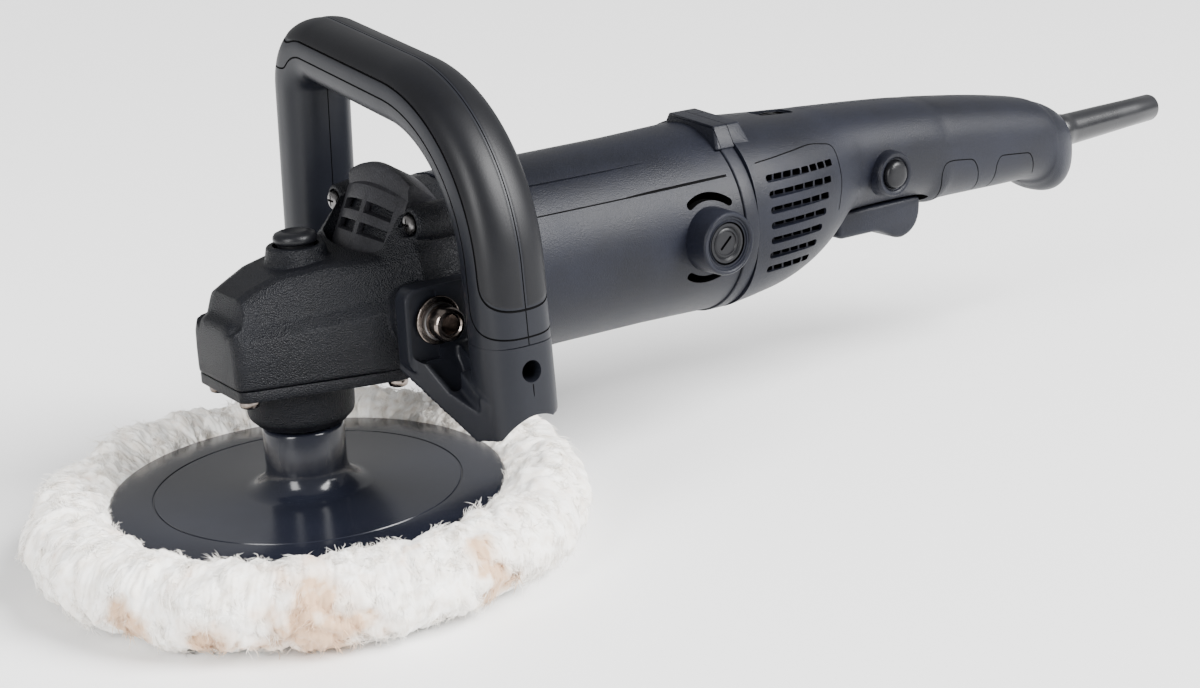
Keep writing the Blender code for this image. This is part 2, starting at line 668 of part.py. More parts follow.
def d_handle():
    """The moulded loop in two half shells, with its soft grip skin."""
    section = superellipse(GRIP_A, GRIP_B, 2.6, 16)
    path = loop_path()
    whole = swept("handle_front_shell", path, section, charcoal())
    for side in (-1, 1):
        for piece in foot_parts(side):
            join(whole, piece)
        low, high = sorted((side * 0.0300, side * 0.0700))
        cut(whole, cylinder("bolt_bore", 0.0044, low, high, charcoal(), "Y", (BOLT_X, 0, BOLT_Z), 12))
        low, high = sorted((side * 0.0720, side * 0.0900))
        cut(whole, cylinder("foot_hole", 0.0040, low, high, charcoal(), "Y", (GRIP_X, 0, 0.0785), 12))
        arch = cylinder("arch", 0.0140, low, high, charcoal(), "Y", (0.0500, 0, 0.0490), 16)
        cut(whole, arch)
    skin_path = path[1:-1]
    skin_path = [path[0].lerp(path[1], 0.70)] + skin_path + [path[-1].lerp(path[-2], 0.36)]
    outer = superellipse(GRIP_A, GRIP_B, 2.6, 5, -28, 84, False)
    inner = superellipse(GRIP_A - 0.0016, GRIP_B - 0.0016, 2.6, 5, -28, 84, False)
    strip = [(-a, b) for a, b in outer] + [(-a, b) for a, b in reversed(inner)]
    grown = superellipse(GRIP_A + 0.0006, GRIP_B + 0.0006, 2.6, 5, -28, 84, False)
    shrunk = superellipse(GRIP_A - 0.0019, GRIP_B - 0.0019, 2.6, 5, -28, 84, False)
    recess = [(-a, b) for a, b in grown] + [(-a, b) for a, b in reversed(shrunk)]
    longer = [path[0].lerp(path[1], 0.69)] + skin_path[1:-1] + [path[-1].lerp(path[-2], 0.355)]
    cut(whole, swept("recess", longer, recess, charcoal()))
    grip = swept("handle_grip", skin_path, strip, soft_rubber())
    rear = copy_of(whole, "handle_rear_shell")
    far = 0.3
    keep(whole, block("front", (-far, -far, -far), (GRIP_X - GAP / 2, far, far), charcoal()))
    keep(rear, block("rear", (GRIP_X + GAP / 2, -far, -far), (far, far, far), charcoal()))
    return whole, rear, grip


def handle_fasteners():
    for name, side in (("near", -1), ("far", 1)):
        face = side * (LUG_Y + LUG_T)
        low, high = sorted((face + side * GAP, face + side * 0.0019))
        tube(f"washer_{name}", 0.0044, 0.0090, low, high, steel(), "Y", (BOLT_X, 0, BOLT_Z), 20)
        seat = 0.0019 + GAP
        tip = abs(face) + seat
        profile = [(0, 0.0260), (0.0037, 0.0260), (0.0037, tip), (0.0064, tip), (0.0064, tip + 0.0074),
                   (0.0058, tip + 0.0080), (0.0036, tip + 0.0080), (0.0036, tip + 0.0040),
                   (0, tip + 0.0040)]
        profile = [(r, side * h) for r, h in profile]
        turned(f"handle_bolt_{name}", profile, steel(), "Y", (BOLT_X, 0, BOLT_Z), steps=16)


# --- motor -----------------------------------------------------------------------------------

def motor_housing():
    axis = (0, 0, MOTOR_Z)
    low, high = GEARBOX_BACK + GAP, SEAM_X - GAP
    profile = [(0.0357, low), (HOUSING_R, low), (HOUSING_R, 0.1100), (HOUSING_R + 0.0004, 0.1500),
               (SEAM_R, high), (0.0362, high)]
    housing = turned("motor_housing", profile, charcoal(), "X", axis, steps=40)
    join(housing, seam_block(0.1700, high))
    for side in (-1, 1):
        boss = [(0, side * 0.0370), (0.0145, side * 0.0370), (0.0145, side * 0.0490),
                (0.0130, side * 0.0502), (0, side * 0.0502)]
        join(housing, turned("brush_boss", boss, charcoal(), "Y", (BRUSH_X, 0, MOTOR_Z), steps=24))
        bore = [(0, side * 0.0300), (0.0088, side * 0.0300), (0.0088, side * 0.0560),
                (0, side * 0.0560)]
        cut(housing, turned("bore", bore, charcoal(), "Y", (BRUSH_X, 0, MOTOR_Z), steps=20))
        for lift in (-1, 1):
            cut(housing, kidney(side, lift))
    return housing


def seam_block(low, high):
    """The part between two x positions of the faceted block that sits across the seams."""
    shape = hull_of("seam_block", [Vector((x, y, z)) for x, y, z in (
        (0.1825, -0.0262, 0.1290), (0.1825, 0.0130, 0.1290), (0.2008, -0.0262, 0.1290),
        (0.2008, 0.0130, 0.1290), (0.1850, -0.0210, 0.1380), (0.1850, 0.0085, 0.1402),
        (0.1988, -0.0210, 0.1380), (0.1988, 0.0085, 0.1402))], charcoal())
    keep(shape, block("span", (low, -0.1, 0.0), (high, 0.1, 0.2), charcoal()))
    return cut(shape, cylinder("core", 0.0372, 0.1600, 0.2200, charcoal(), "X", (0, 0, MOTOR_Z), 32))


def kidney(side, lift):
    """A curved vent slot that follows the brush boss."""
    inner, outer = [], []
    for i in range(5):
        angle = math.radians(lift * (52 + 76 * i / 4))
        inner.append((BRUSH_X + 0.0168 * math.cos(angle), MOTOR_Z + 0.0168 * math.sin(angle)))
        outer.append((BRUSH_X + 0.0202 * math.cos(angle), MOTOR_Z + 0.0202 * math.sin(angle)))
    inner = [(x, z) for x, z in inner if x < 0.1815]
    outer = [(x, z) for x, z in outer if x < 0.1815]
    return prism("kidney", inner + outer[::-1], *sorted((side * 0.0240, side * 0.0450)), charcoal(),
                 axis="Y")


def sector(name, inner, outer, half_deg, middle_deg, low, high, finish, steps=8):
    """A piece of a ring around the motor's axis, between two x positions."""
    angles = [math.radians(middle_deg - half_deg + 2 * half_deg * i / steps) for i in range(steps + 1)]
    outline = [(outer * math.cos(a), MOTOR_Z + outer * math.sin(a)) for a in angles]
    outline += [(inner * math.cos(a), MOTOR_Z + inner * math.sin(a)) for a in reversed(angles)]
    return prism(name, outline, low, high, finish, axis="X")


def stator():
    core = tube("stator_core", 0.0215, 0.0352, 0.0960, 0.1480, dark_steel(), "X", (0, 0, MOTOR_Z), 28)
    for middle in (0, 180):
        cut(core, sector("slot", 0.0180, 0.0316, 42, middle, 0.0900, 0.1550, dark_steel()))
    for name, middle in (("near", 180), ("far", 0)):
        sector(f"field_coil_{name}", 0.0219, 0.0312, 38, middle, 0.0890, 0.1550, copper())


def armature():
    axis = (0, 0, MOTOR_Z)
    slots = 12
    outline = []
    for i in range(slots):
        for at, radius in ((-0.38, 0.0205), (-0.12, 0.0205), (-0.10, 0.0150), (0.10, 0.0150),
                           (0.12, 0.0205), (0.38, 0.0205)):
            angle = 2 * math.pi * (i + at) / slots
            outline.append((radius * math.cos(angle), MOTOR_Z + radius * math.sin(angle)))
    core = prism("armature_core", outline, 0.0970, 0.1470, dark_steel(), axis="X")
    cut(core, cylinder("bore", 0.0053, 0.0900, 0.1550, dark_steel(), "X", axis, 20))
    shaft = [(0, 0.0303), (0.0038, 0.0303), (0.0050, 0.0318), (0.0050, 0.1790), (0.0038, 0.1795),
             (0.0038, 0.1900), (0, 0.1900)]
    turned("armature_shaft", shaft, steel(), "X", axis, 20)
    for name, low, high in (("front", 0.0858, 0.0967), ("rear", 0.1473, 0.1560)):
        profile = [(0.0056, low), (0.0140, low), (0.0180, low + 0.002), (0.0180, high - 0.002),
                   (0.0140, high), (0.0056, high)]
        turned(f"armature_winding_{name}", profile, copper(), "X", axis, 20)
    tube("commutator", 0.0053, 0.0112, 0.1600, 0.1760, copper(), "X", axis, 24)


def cooling_fan():
    """A hub with ten blades in front of a back disc."""
    axis = (0, 0, MOTOR_Z)
    fan = tube("cooling_fan", 0.0053, 0.0100, 0.0680, 0.0820, glass_nylon(), "X", axis, 20)
    join(fan, tube("disc", 0.0080, 0.0310, 0.0800, 0.0820, glass_nylon(), "X", axis, 28))
    blades = 10
    for i in range(blades):
        angle = 2 * math.pi * (i + 0.25) / blades
        c, s = math.cos(angle), math.sin(angle)
        outline = []
        for radius, offset in ((0.0090, -0.0006), (0.0305, -0.0006), (0.0305, 0.0006), (0.0090, 0.0006)):
            outline.append((radius * c - offset * s, MOTOR_Z + radius * s + offset * c))
        join(fan, prism("blade", outline, 0.0705, 0.0805, glass_nylon(), axis="X"))
    return fan


def brush_gear():
    for name, side in (("near", -1), ("far", 1)):
        def span(a, b):
            return sorted((side * a, side * b))
        y0, y1 = span(0.0130, 0.0400)
        holder = block(f"brush_holder_{name}", (BRUSH_X - 0.0050, y0, MOTOR_Z - 0.0070),
                       (BRUSH_X + 0.0050, y1, MOTOR_Z + 0.0070), brass())
        y0, y1 = span(0.0100, 0.0450)
        cut(holder, block("room", (BRUSH_X - 0.0036, y0, MOTOR_Z - 0.0056),
                          (BRUSH_X + 0.0036, y1, MOTOR_Z + 0.0056), brass()))
        y0, y1 = span(0.0115, 0.0290)
        block(f"carbon_brush_{name}", (BRUSH_X - 0.0032, y0, MOTOR_Z - 0.0052),
              (BRUSH_X + 0.0032, y1, MOTOR_Z + 0.0052), carbon())
        cap = [(0, side * 0.0405), (0.0084, side * 0.0405), (0.0084, side * 0.0478),
               (0.0076, side * 0.0486), (0, side * 0.0486)]
        cap = turned(f"brush_cap_{name}", cap, glass_nylon(), "Y", (BRUSH_X, 0, MOTOR_Z), steps=20)
        y0, y1 = span(0.0472, 0.0500)
        slot = block("slot", (BRUSH_X - 0.0050, y0, MOTOR_Z - 0.0007),
                     (BRUSH_X + 0.0050, y1, MOTOR_Z + 0.0007), glass_nylon())
        cut(cap, slot)


def middle_ring():
    """The bearing bracket between the motor housing and the rear handle, with its top block."""
    axis = (0, 0, MOTOR_Z)
    ring = tube("middle_ring", 0.0095, SEAM_R + 0.0004, SEAM_X, REAR_X - GAP, charcoal(), "X", axis, 40)
    join(ring, seam_block(SEAM_X, REAR_X - GAP))
    for angle in (45, 135, 225, 315):
        radians = math.radians(angle)
        at = (0, 0.0240 * math.cos(radians), MOTOR_Z + 0.0240 * math.sin(radians))
        cut(ring, cylinder("air_hole", 0.0070, SEAM_X - 0.01, REAR_X + 0.01, charcoal(), "X", at, 12))
    return ring


# --- rear handle -----------------------------------------------------------------------------

# x, half width, bottom, top
REAR = [(0.1920, 0.0400, 0.0572, 0.1372),
        (0.2060, 0.0398, 0.0590, 0.1362),
        (0.2200, 0.0384, 0.0612, 0.1352),
        (0.2320, 0.0362, 0.0648, 0.1344),
        (0.2420, 0.0338, 0.0695, 0.1338),
        (0.2500, 0.0315, 0.0752, 0.1333),
        (0.2570, 0.0296, 0.0815, 0.1330),
        (0.2640, 0.0284, 0.0850, 0.1326),
        (0.2830, 0.0274, 0.0855, 0.1315),
        (0.3070, 0.0264, 0.0845, 0.1298),
        (0.3170, 0.0260, 0.0806, 0.1288),
        (0.3260, 0.0256, 0.0812, 0.1280),
        (0.3590, 0.0246, 0.0806, 0.1240),
        (0.3860, 0.0240, 0.0800, 0.1196),
        (0.3930, 0.0236, 0.0765, 0.1173),
        (0.3985, 0.0226, 0.0727, 0.1157),
        (0.4040, 0.0205, 0.0714, 0.1133),
        (0.4095, 0.0172, 0.0722, 0.1101),
        (0.4140, 0.0135, 0.0745, 0.1062),
        (0.4170, 0.0095, 0.0790, 0.1025)]
REAR_POWER = 2.35
REAR_COUNT = 20


def rear_ring(row, shrink=0.0):
    x, width, bottom, top = row
    middle, half = (bottom + top) / 2, (top - bottom) / 2
    return [Vector((x, a, middle + b))
            for a, b in superellipse(width - shrink, half - shrink, REAR_POWER, REAR_COUNT, 90, 450)]


def rear_shells():
    """The rear handle as two half shells that meet on the plane y = 0."""
    body = lofted("rear_shell_near", [rear_ring(row) for row in REAR], charcoal())
    wall = 0.0028
    inside = [row for row in REAR if row[0] < 0.39]
    rings = [rear_ring(row, wall) for row in inside]
    rings[0] = [Vector((0.1900, p.y, p.z)) for p in rings[0]]
    cut(body, lofted("inside", rings, charcoal()))
    join(body, seam_block(REAR_X, 0.2100))
    cut(body, cylinder("cord_bore", 0.0062, 0.3800, 0.4400, charcoal(), "X", (0, 0, CORD_Z), 12))
    cut(body, block("trigger_gap", (0.2565, -0.0164, 0.0600), (0.3135, 0.0164, 0.0946), charcoal()))
    cut(body, dial_slot())
    boss = [(0, 0.0230), (0.0104, 0.0230), (0.0092, 0.0325), (0, 0.0325)]
    for side in (-1, 1):
        collar = [(r, side * h) for r, h in boss]
        join(body, turned("collar", collar, charcoal(), "Y", (BUTTON_X, 0, BUTTON_Z), steps=16))
    cut(body, cylinder("button_bore", 0.0064, -0.0400, 0.0400, charcoal(), "Y",
                       (BUTTON_X, 0, BUTTON_Z), 16))
    for side in (-1, 1):
        for number in range(7):
            z = MOTOR_Z + 0.0190 - 0.0064 * number
            end = 0.2400 - 0.0024 * number
            low, high = sorted((side * 0.0200, side * 0.0460))
            cut(body, block("vent", (0.1990, low, z - 0.0014), (end, high, z + 0.0014), charcoal()))
    for x, z, reach in SHELL_SCREWS:
        join(body, cylinder("post", 0.0044, -reach, reach, charcoal(), "Y", (x, 0, z), 10))
        cut(body, cylinder("thread", 0.0017, -0.0150, 0.0300, charcoal(), "Y", (x, 0, z), 8))
        cut(body, cylinder("recess", 0.0032, 0.0180, 0.0450, charcoal(), "Y", (x, 0, z), 10))
    far = 0.6
    rear = copy_of(body, "rear_shell_far")
    keep(body, block("near", (-far, -far, -far), (far, -GAP / 2, far), charcoal()))
    keep(rear, block("far", (-far, GAP / 2, -far), (far, far, far), charcoal()))
    return body, rear


# x, z and how far the screw's post reaches to each side
SHELL_SCREWS = [(0.2480, 0.1180, 0.0282), (0.3260, 0.1040, 0.0240), (0.3640, 0.1010, 0.0230)]


def shell_screws():
    for number, (x, z, _) in enumerate(SHELL_SCREWS, 1):
        screw(f"shell_screw_{number}", (x, 0, z), "Y", -0.0140, 0.0208, 0.0029, 0.0024, 0.0014,
              steel(), head_low=False)


def dial_slot():
    return block("dial_slot", (DIAL_X - 0.0080, -0.0040, 0.1220), (DIAL_X + 0.0080, 0.0040, 0.1400),
                 charcoal())


def speed_dial():
    """The thumbwheel on top, on an axle along Y."""
    count = 18
    outline = []
    for i in range(count):
        for at, r in ((0.0, DIAL_R), (0.5, DIAL_R - 0.0006)):
            angle = 2 * math.pi * (i + at) / count
            outline.append((DIAL_X + r * math.cos(angle), DIAL_Z + r * math.sin(angle)))
    return prism("speed_dial", outline, -0.0034, 0.0034, soft_rubber(), axis="Y")



def trigger():
    """The paddle trigger, which hinges at its front end."""
    side = [(0.2590, 0.0870), (0.2590, 0.0765), (0.2615, 0.0750), (0.2830, 0.0748),
            (0.2885, 0.0728), (0.2940, 0.0698), (0.2985, 0.0690), (0.3035, 0.0704),
            (0.3075, 0.0738), (0.3095, 0.0785), (0.3100, 0.0870)]
    paddle = prism("trigger", side, -0.0152, 0.0152, charcoal(), axis="Y")
    return paddle


def switch_and_board():
    block("switch_body", (0.2640, -0.0120, 0.0952), (0.3080, 0.0120, 0.1210), glass_nylon())
    block("speed_board", (0.2180, -0.0140, 0.0880), (0.2400, 0.0140, 0.1150), glass_nylon())
    clamp = block("cord_clamp", (0.3770, -0.0110, 0.0890), (0.3845, 0.0110, 0.1060), glass_nylon())
    return cut(clamp, cylinder("bore", CORD_D / 2 + GAP, 0.3700, 0.4000, glass_nylon(), "X",
                               (0, 0, CORD_Z), 14))


def lock_on_button():
    profile = [(0, -0.0345), (0.0050, -0.0345), (0.0060, -0.0336), (0.0060, -0.0160), (0, -0.0160)]
    return turned("lock_on_button", profile, soft_rubber(), "Y", (BUTTON_X, 0, BUTTON_Z), steps=16)


# --- sleeve ------------------------------------------------------------------------------------

def strain_relief():
    """The rubber sleeve that guards the cord where it leaves the handle. It rises a little."""
    inner = CORD_D / 2 + 0.0002
    profile = [(inner, 0.3980), (0.0058, 0.3980), (0.0058, SLEEVE_START), (0.0081, SLEEVE_START),
               (0.0081, 0.4260), (0.0067, SLEEVE_END - 0.0010), (0.0060, SLEEVE_END),
               (inner, SLEEVE_END), (inner, SLEEVE_START)]
    sleeve = turned("strain_relief", profile, soft_rubber(), "X", (0, 0, CORD_Z), steps=20)
    for vertex in sleeve.data.vertices:
        vertex.co.z += SLEEVE_RISE * max(0.0, vertex.co.x - SLEEVE_START)
    return sleeve


def clear_scene():
    for obj in list(bpy.data.objects):
        bpy.data.objects.remove(obj, do_unlink=True)


def build():
    clear_scene()
    wool_bonnet()
    hook_disc()
    backing_plate()
    hub_insert()
    spindle()
    bearing("lower_bearing", 0.0079, 0.0157, 0.0583, 0.0685)
    bearing("upper_bearing", 0.0079, 0.0157, 0.0690, 0.0785)
    ring_gear()
    pinion_gear()
    gearbox_housing()
    bearing_flange()
    flange_screws()
    spindle_lock_button()
    vent_hood()
    hood_screws()
    d_handle()
    handle_fasteners()
    motor_housing()
    stator()
    armature()
    cooling_fan()
    brush_gear()
    middle_ring()
    bearing("front_motor_bearing", 0.0053, 0.0130, 0.0310, 0.0400, "X", (0, 0, MOTOR_Z))
    bearing("rear_motor_bearing", 0.0041, 0.0092, 0.1800, 0.1880, "X", (0, 0, MOTOR_Z))
    rear_shells()
    shell_screws()
    speed_dial()
    trigger()
    switch_and_board()
    lock_on_button()
    strain_relief()


build()
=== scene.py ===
"""The looks of the rotary polisher: detailed shells, wool pile, materials, floor, light and camera.

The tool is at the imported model's own place and size, in metres. +Z is up the spindle, +X runs
back along the motor, and -Y is the near side.
"""

import math

import bmesh
import bpy
import numpy as np
from mathutils import Matrix, Vector, noise


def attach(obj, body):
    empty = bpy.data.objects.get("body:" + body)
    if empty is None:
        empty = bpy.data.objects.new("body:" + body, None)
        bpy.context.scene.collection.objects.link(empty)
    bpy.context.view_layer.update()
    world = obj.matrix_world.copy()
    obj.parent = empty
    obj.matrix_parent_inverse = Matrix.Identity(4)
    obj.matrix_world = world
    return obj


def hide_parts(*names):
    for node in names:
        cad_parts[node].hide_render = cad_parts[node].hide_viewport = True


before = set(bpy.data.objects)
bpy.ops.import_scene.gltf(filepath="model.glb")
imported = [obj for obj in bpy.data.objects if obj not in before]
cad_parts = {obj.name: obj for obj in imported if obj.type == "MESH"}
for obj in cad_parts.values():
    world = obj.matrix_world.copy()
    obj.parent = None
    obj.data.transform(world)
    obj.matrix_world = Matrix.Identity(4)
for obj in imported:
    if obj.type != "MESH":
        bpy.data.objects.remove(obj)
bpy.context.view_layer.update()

# --- sizes, repeated from the part -------------------------------------------------------------

RIM_Z = 0.026              # top of the backing plate
HUB_TOP = RIM_Z + 0.0247
MOTOR_Z = 0.097            # height of the motor's axis
HOUSING_R = 0.0386
SEAM_R = 0.0405
GEARBOX_BACK = 0.062
SEAM_X = 0.185             # joint of motor housing and middle ring
REAR_X = 0.192             # joint of middle ring and rear handle
BRUSH_X = 0.168
BRUSH_AT = (BRUSH_X, 0, MOTOR_Z)
LOCK_X = 0.004
BOLT_X, BOLT_Z = 0.034, 0.0935
BOLT_AT = (BOLT_X, 0, BOLT_Z)
LUG_Y, LUG_T = 0.039, 0.0072
GRIP_X = 0.0497            # middle plane of the D-handle
GRIP_A, GRIP_B = 0.01425, 0.0125
DIAL_X, DIAL_Z, DIAL_R = 0.2335, 0.1255, 0.0085
BUTTON_X, BUTTON_Z = 0.277, 0.1045
BUTTON_AT = (BUTTON_X, 0, BUTTON_Z)
CREASE = math.radians(38)  # edges sharper than this stay sharp after a cut
PLUG_TURN = math.radians(-42)  # the driver slot of a brush plug
CORD_Z = 0.0975
SLEEVE_START, SLEEVE_END, SLEEVE_RISE = 0.4175, 0.488, 0.034

# --- camera, floor and light -------------------------------------------------------------------

CAMERA_AT = (-0.29598, -0.6132, 0.28531)
AZIMUTH, ELEVATION, ROLL = -35.304, 17.34, -2.766


def add_camera():
    data = bpy.data.cameras.new("camera")
    data.sensor_width = 36.0
    data.lens = 56.79
    data.clip_start = 0.01
    camera = bpy.data.objects.new("camera", data)
    bpy.context.scene.collection.objects.link(camera)
    turn = (Matrix.Rotation(math.radians(AZIMUTH), 4, "Z")
            @ Matrix.Rotation(math.radians(90 - ELEVATION), 4, "X")
            @ Matrix.Rotation(math.radians(ROLL), 4, "Z"))
    camera.matrix_world = Matrix.Translation(CAMERA_AT) @ turn
    bpy.context.scene.camera = camera


def add_light(name, at, toward, size, power, colour=(1, 1, 1)):
    data = bpy.data.lights.new(name, "AREA")
    data.shape = "RECTANGLE"
    data.size, data.size_y = size
    data.energy = power
    data.color = colour
    lamp = bpy.data.objects.new(name, data)
    bpy.context.scene.collection.objects.link(lamp)
    lamp.location = at
    lamp.rotation_euler = (Vector(at) - Vector(toward)).to_track_quat("Z", "Y").to_euler()


def add_sky_light(name, source, strength, spread_deg):
    """A wide far light from the direction of source, which lights the floor evenly."""
    data = bpy.data.lights.new(name, "SUN")
    data.energy = strength
    data.angle = math.radians(spread_deg)
    lamp = bpy.data.objects.new(name, data)
    bpy.context.scene.collection.objects.link(lamp)
    lamp.rotation_euler = Vector(source).to_track_quat("Z", "Y").to_euler()


def add_studio():
    mesh = bpy.data.meshes.new("floor")
    reach = 6.0
    mesh.from_pydata([(-reach, -reach, 0), (reach, -reach, 0), (reach, reach, 0),
                      (-reach, reach, 0)],
                     [], [(0, 1, 2, 3)])
    floor = bpy.data.objects.new("floor", mesh)
    bpy.context.scene.collection.objects.link(floor)
    paint = bpy.data.materials.new("floor")
    paint.use_nodes = True
    shader = paint.node_tree.nodes["Principled BSDF"]
    shader.inputs["Base Color"].default_value = (0.9, 0.9, 0.9, 1)
    shader.inputs["Roughness"].default_value = 0.75
    mesh.materials.append(paint)
    world = bpy.data.worlds.new("studio")
    world.use_nodes = True
    world.node_tree.nodes["Background"].inputs["Color"].default_value = (1.0, 1.0, 1.0, 1)
    world.node_tree.nodes["Background"].inputs["Strength"].default_value = 0.62
    bpy.context.scene.world = world
    middle = (0.12, 0, 0.08)
    add_sky_light("near_sky", (0.42, -0.62, 0.66), 8.5, 34)
    add_light("front_box", (-1.35, -0.62, 0.75), middle, (0.5, 1.1), 36)
    add_light("right_box", (1.15, -1.55, 0.95), middle, (0.9, 0.6), 40)


# --- finishes ------------------------------------------------------------------------------------

def shade(colour, factor):
    return tuple(min(1.0, c * factor) for c in colour) + (1.0,)


def finish(name, colour, roughness, metallic=0.0, grain=0.0004, depth=0.00004, spread=0.1,
           tint=(0.82, 1.22), blotch=0.03, stretch=(1, 1, 1), cells=False, coat=0.0, sheen=0.0,
           gloss=0.5):
    """A material with colour that drifts over blotch metres, roughness that varies by spread, and
    a bump of grain metres. Stretch draws the grain out along an axis. Cells makes wrinkles."""
    made = bpy.data.materials.new(name)
    made.use_nodes = True
    tree = made.node_tree
    shader = tree.nodes["Principled BSDF"]
    shader.inputs["Metallic"].default_value = metallic
    shader.inputs["Specular IOR Level"].default_value = gloss
    shader.inputs["Coat Weight"].default_value = coat
    shader.inputs["Coat Roughness"].default_value = 0.12
    shader.inputs["Sheen Weight"].default_value = sheen
    place = tree.nodes.new("ShaderNodeTexCoord")
    scaled = tree.nodes.new("ShaderNodeMapping")
    scaled.inputs["Scale"].default_value = stretch
    tree.links.new(place.outputs["Object"], scaled.inputs["Vector"])

    def cloud(size, detail, source):
        node = tree.nodes.new("ShaderNodeTexNoise")
        node.inputs["Scale"].default_value = 1.0 / size
        node.inputs["Detail"].default_value = detail
        tree.links.new(source, node.inputs["Vector"])
        return node

    broad = cloud(blotch, 3.0, place.outputs["Object"])
    fine = cloud(grain * 2.5, 2.0, scaled.outputs["Vector"])
    mixed = tree.nodes.new("ShaderNodeMath")
    mixed.operation = "MULTIPLY_ADD"
    mixed.inputs[1].default_value = 0.45
    tree.links.new(fine.outputs["Fac"], mixed.inputs[0])
    tree.links.new(broad.outputs["Fac"], mixed.inputs[2])
    ramp = tree.nodes.new("ShaderNodeValToRGB")
    ramp.color_ramp.elements[0].position = 0.48
    ramp.color_ramp.elements[1].position = 0.98
    ramp.color_ramp.elements[0].color = shade(colour, tint[0])
    ramp.color_ramp.elements[1].color = shade(colour, tint[1])
    tree.links.new(mixed.outputs["Value"], ramp.inputs["Fac"])
    tree.links.new(ramp.outputs["Color"], shader.inputs["Base Color"])
    level = tree.nodes.new("ShaderNodeMapRange")
    level.inputs["To Min"].default_value = max(0.02, roughness - spread)
    level.inputs["To Max"].default_value = min(1.0, roughness + spread)
    tree.links.new(broad.outputs["Fac"], level.inputs["Value"])
    tree.links.new(level.outputs["Result"], shader.inputs["Roughness"])
    if cells:
        relief = tree.nodes.new("ShaderNodeTexVoronoi")
        relief.feature = "F1"
        relief.inputs["Scale"].default_value = 1.0 / grain
        tree.links.new(scaled.outputs["Vector"], relief.inputs["Vector"])
        height = relief.outputs["Distance"]
    else:
        height = cloud(grain, 4.0, scaled.outputs["Vector"]).outputs["Fac"]
    bump = tree.nodes.new("ShaderNodeBump")
    bump.inputs["Strength"].default_value = 1.0
    bump.inputs["Distance"].default_value = depth
    tree.links.new(height, bump.inputs["Height"])
    tree.links.new(bump.outputs["Normal"], shader.inputs["Normal"])
    return made


CHARCOAL = (0.004, 0.0047, 0.0086)
FINISH = {
    "charcoal_plastic": finish("charcoal_plastic", CHARCOAL, 0.42, grain=0.00055, depth=0.00016,
                               tint=(0.7, 1.5), gloss=0.19),
    "smooth_charcoal": finish("smooth_charcoal", (0.0054, 0.0061, 0.009), 0.4, grain=0.0012,
                              depth=0.00002, tint=(0.9, 1.12), gloss=0.2),
    "wrinkle_paint": finish("wrinkle_paint", (0.002, 0.0023, 0.0036), 0.43, grain=0.00055,
                            depth=0.00034,
                            cells=True, tint=(0.7, 1.6), spread=0.12, gloss=0.17),
    "soft_rubber": finish("soft_rubber", (0.003, 0.0032, 0.0044), 0.42, grain=0.0009, depth=0.00002,
                          tint=(0.85, 1.2), gloss=0.2),
    "plate_nylon": finish("plate_nylon", (0.0072, 0.0082, 0.0132), 0.18, grain=0.004, depth=0.00002,
                          tint=(0.9, 1.15), spread=0.05, gloss=0.3),
    "bright_steel": finish("bright_steel", (0.55, 0.54, 0.53), 0.22, 1.0, grain=0.0003,
                           depth=0.00001,
                           tint=(0.75, 1.1), blotch=0.008),
    "black_steel": finish("black_steel", (0.17, 0.145, 0.13), 0.17, 1.0, grain=0.0003,
                          depth=0.00002,
                          tint=(0.5, 1.4), blotch=0.006),
    "dark_steel": finish("dark_steel", (0.14, 0.135, 0.135), 0.28, 1.0, grain=0.0004,
                         depth=0.00002),
    "enamelled_copper": finish("enamelled_copper", (0.55, 0.22, 0.09), 0.32, 0.9, grain=0.0007,
                               depth=0.0003, stretch=(0.15, 1, 1)),
    "brass": finish("brass", (0.7, 0.52, 0.22), 0.28, 1.0, grain=0.0003, depth=0.00002),
    "carbon": finish("carbon", (0.02, 0.02, 0.022), 0.6, grain=0.0003, depth=0.00005),
    "lambswool": finish("lambswool", (0.72, 0.68, 0.6), 0.9, grain=0.0006, depth=0.0002, sheen=0.5),
    "glass_nylon": finish("glass_nylon", (0.0036, 0.0038, 0.005), 0.38, grain=0.0006, depth=0.00006,
                          tint=(0.8, 1.3), gloss=0.22),
    # line: near-black faces for groove, slot, bore and gap bottoms, painted shade in those recesses
    "line": finish("line", (0.0006, 0.0006, 0.0008), 0.7, grain=0.0006, depth=0.00002, gloss=0.05),
}


# --- mesh helpers --------------------------------------------------------------------------------

def made(name, points, faces, sharp_deg=38.0):
    mesh = bpy.data.meshes.new(name)
    mesh.from_pydata([tuple(p) for p in points], [], faces)
    work = bmesh.new()
    work.from_mesh(mesh)
    bmesh.ops.recalc_face_normals(work, faces=work.faces)
    work.to_mesh(mesh)
    work.free()
    mesh.shade_smooth()
    mesh.set_sharp_from_angle(angle=math.radians(sharp_deg))
    obj = bpy.data.objects.new(name, mesh)
    bpy.context.scene.collection.objects.link(obj)
    return obj


def lofted(name, rings, sharp_deg=38.0):
    count = len(rings[0])
    points = [p for ring in rings for p in ring]
    faces = []
    for k in range(len(rings) - 1):
        for i in range(count):
            j = (i + 1) % count
            faces.append((k * count + i, k * count + j, (k + 1) * count + j, (k + 1) * count + i))
    last = (len(rings) - 1) * count
    faces.append(tuple(reversed(range(count))))
    faces.append(tuple(last + i for i in range(count)))
    return made(name, points, faces, sharp_deg)


def softened(profile, radius, steps=3, closed=False):
    """An outline with its corners rounded off."""
    count = len(profile)
    out = []
    for i, corner in enumerate(profile):
        here = Vector(corner)
        if not closed and i in (0, count - 1):
            out.append(here)
            continue
        before, after = Vector(profile[i - 1]), Vector(profile[(i + 1) % count])
        a, b = before - here, after - here
        reach = min(radius, a.length * 0.45, b.length * 0.45)
        start, end = here + a.normalized() * reach, here + b.normalized() * reach
        for k in range(steps + 1):
            t = k / steps
            out.append((1 - t) ** 2 * start + 2 * t * (1 - t) * here + t ** 2 * end)
    return [tuple(p) for p in out]


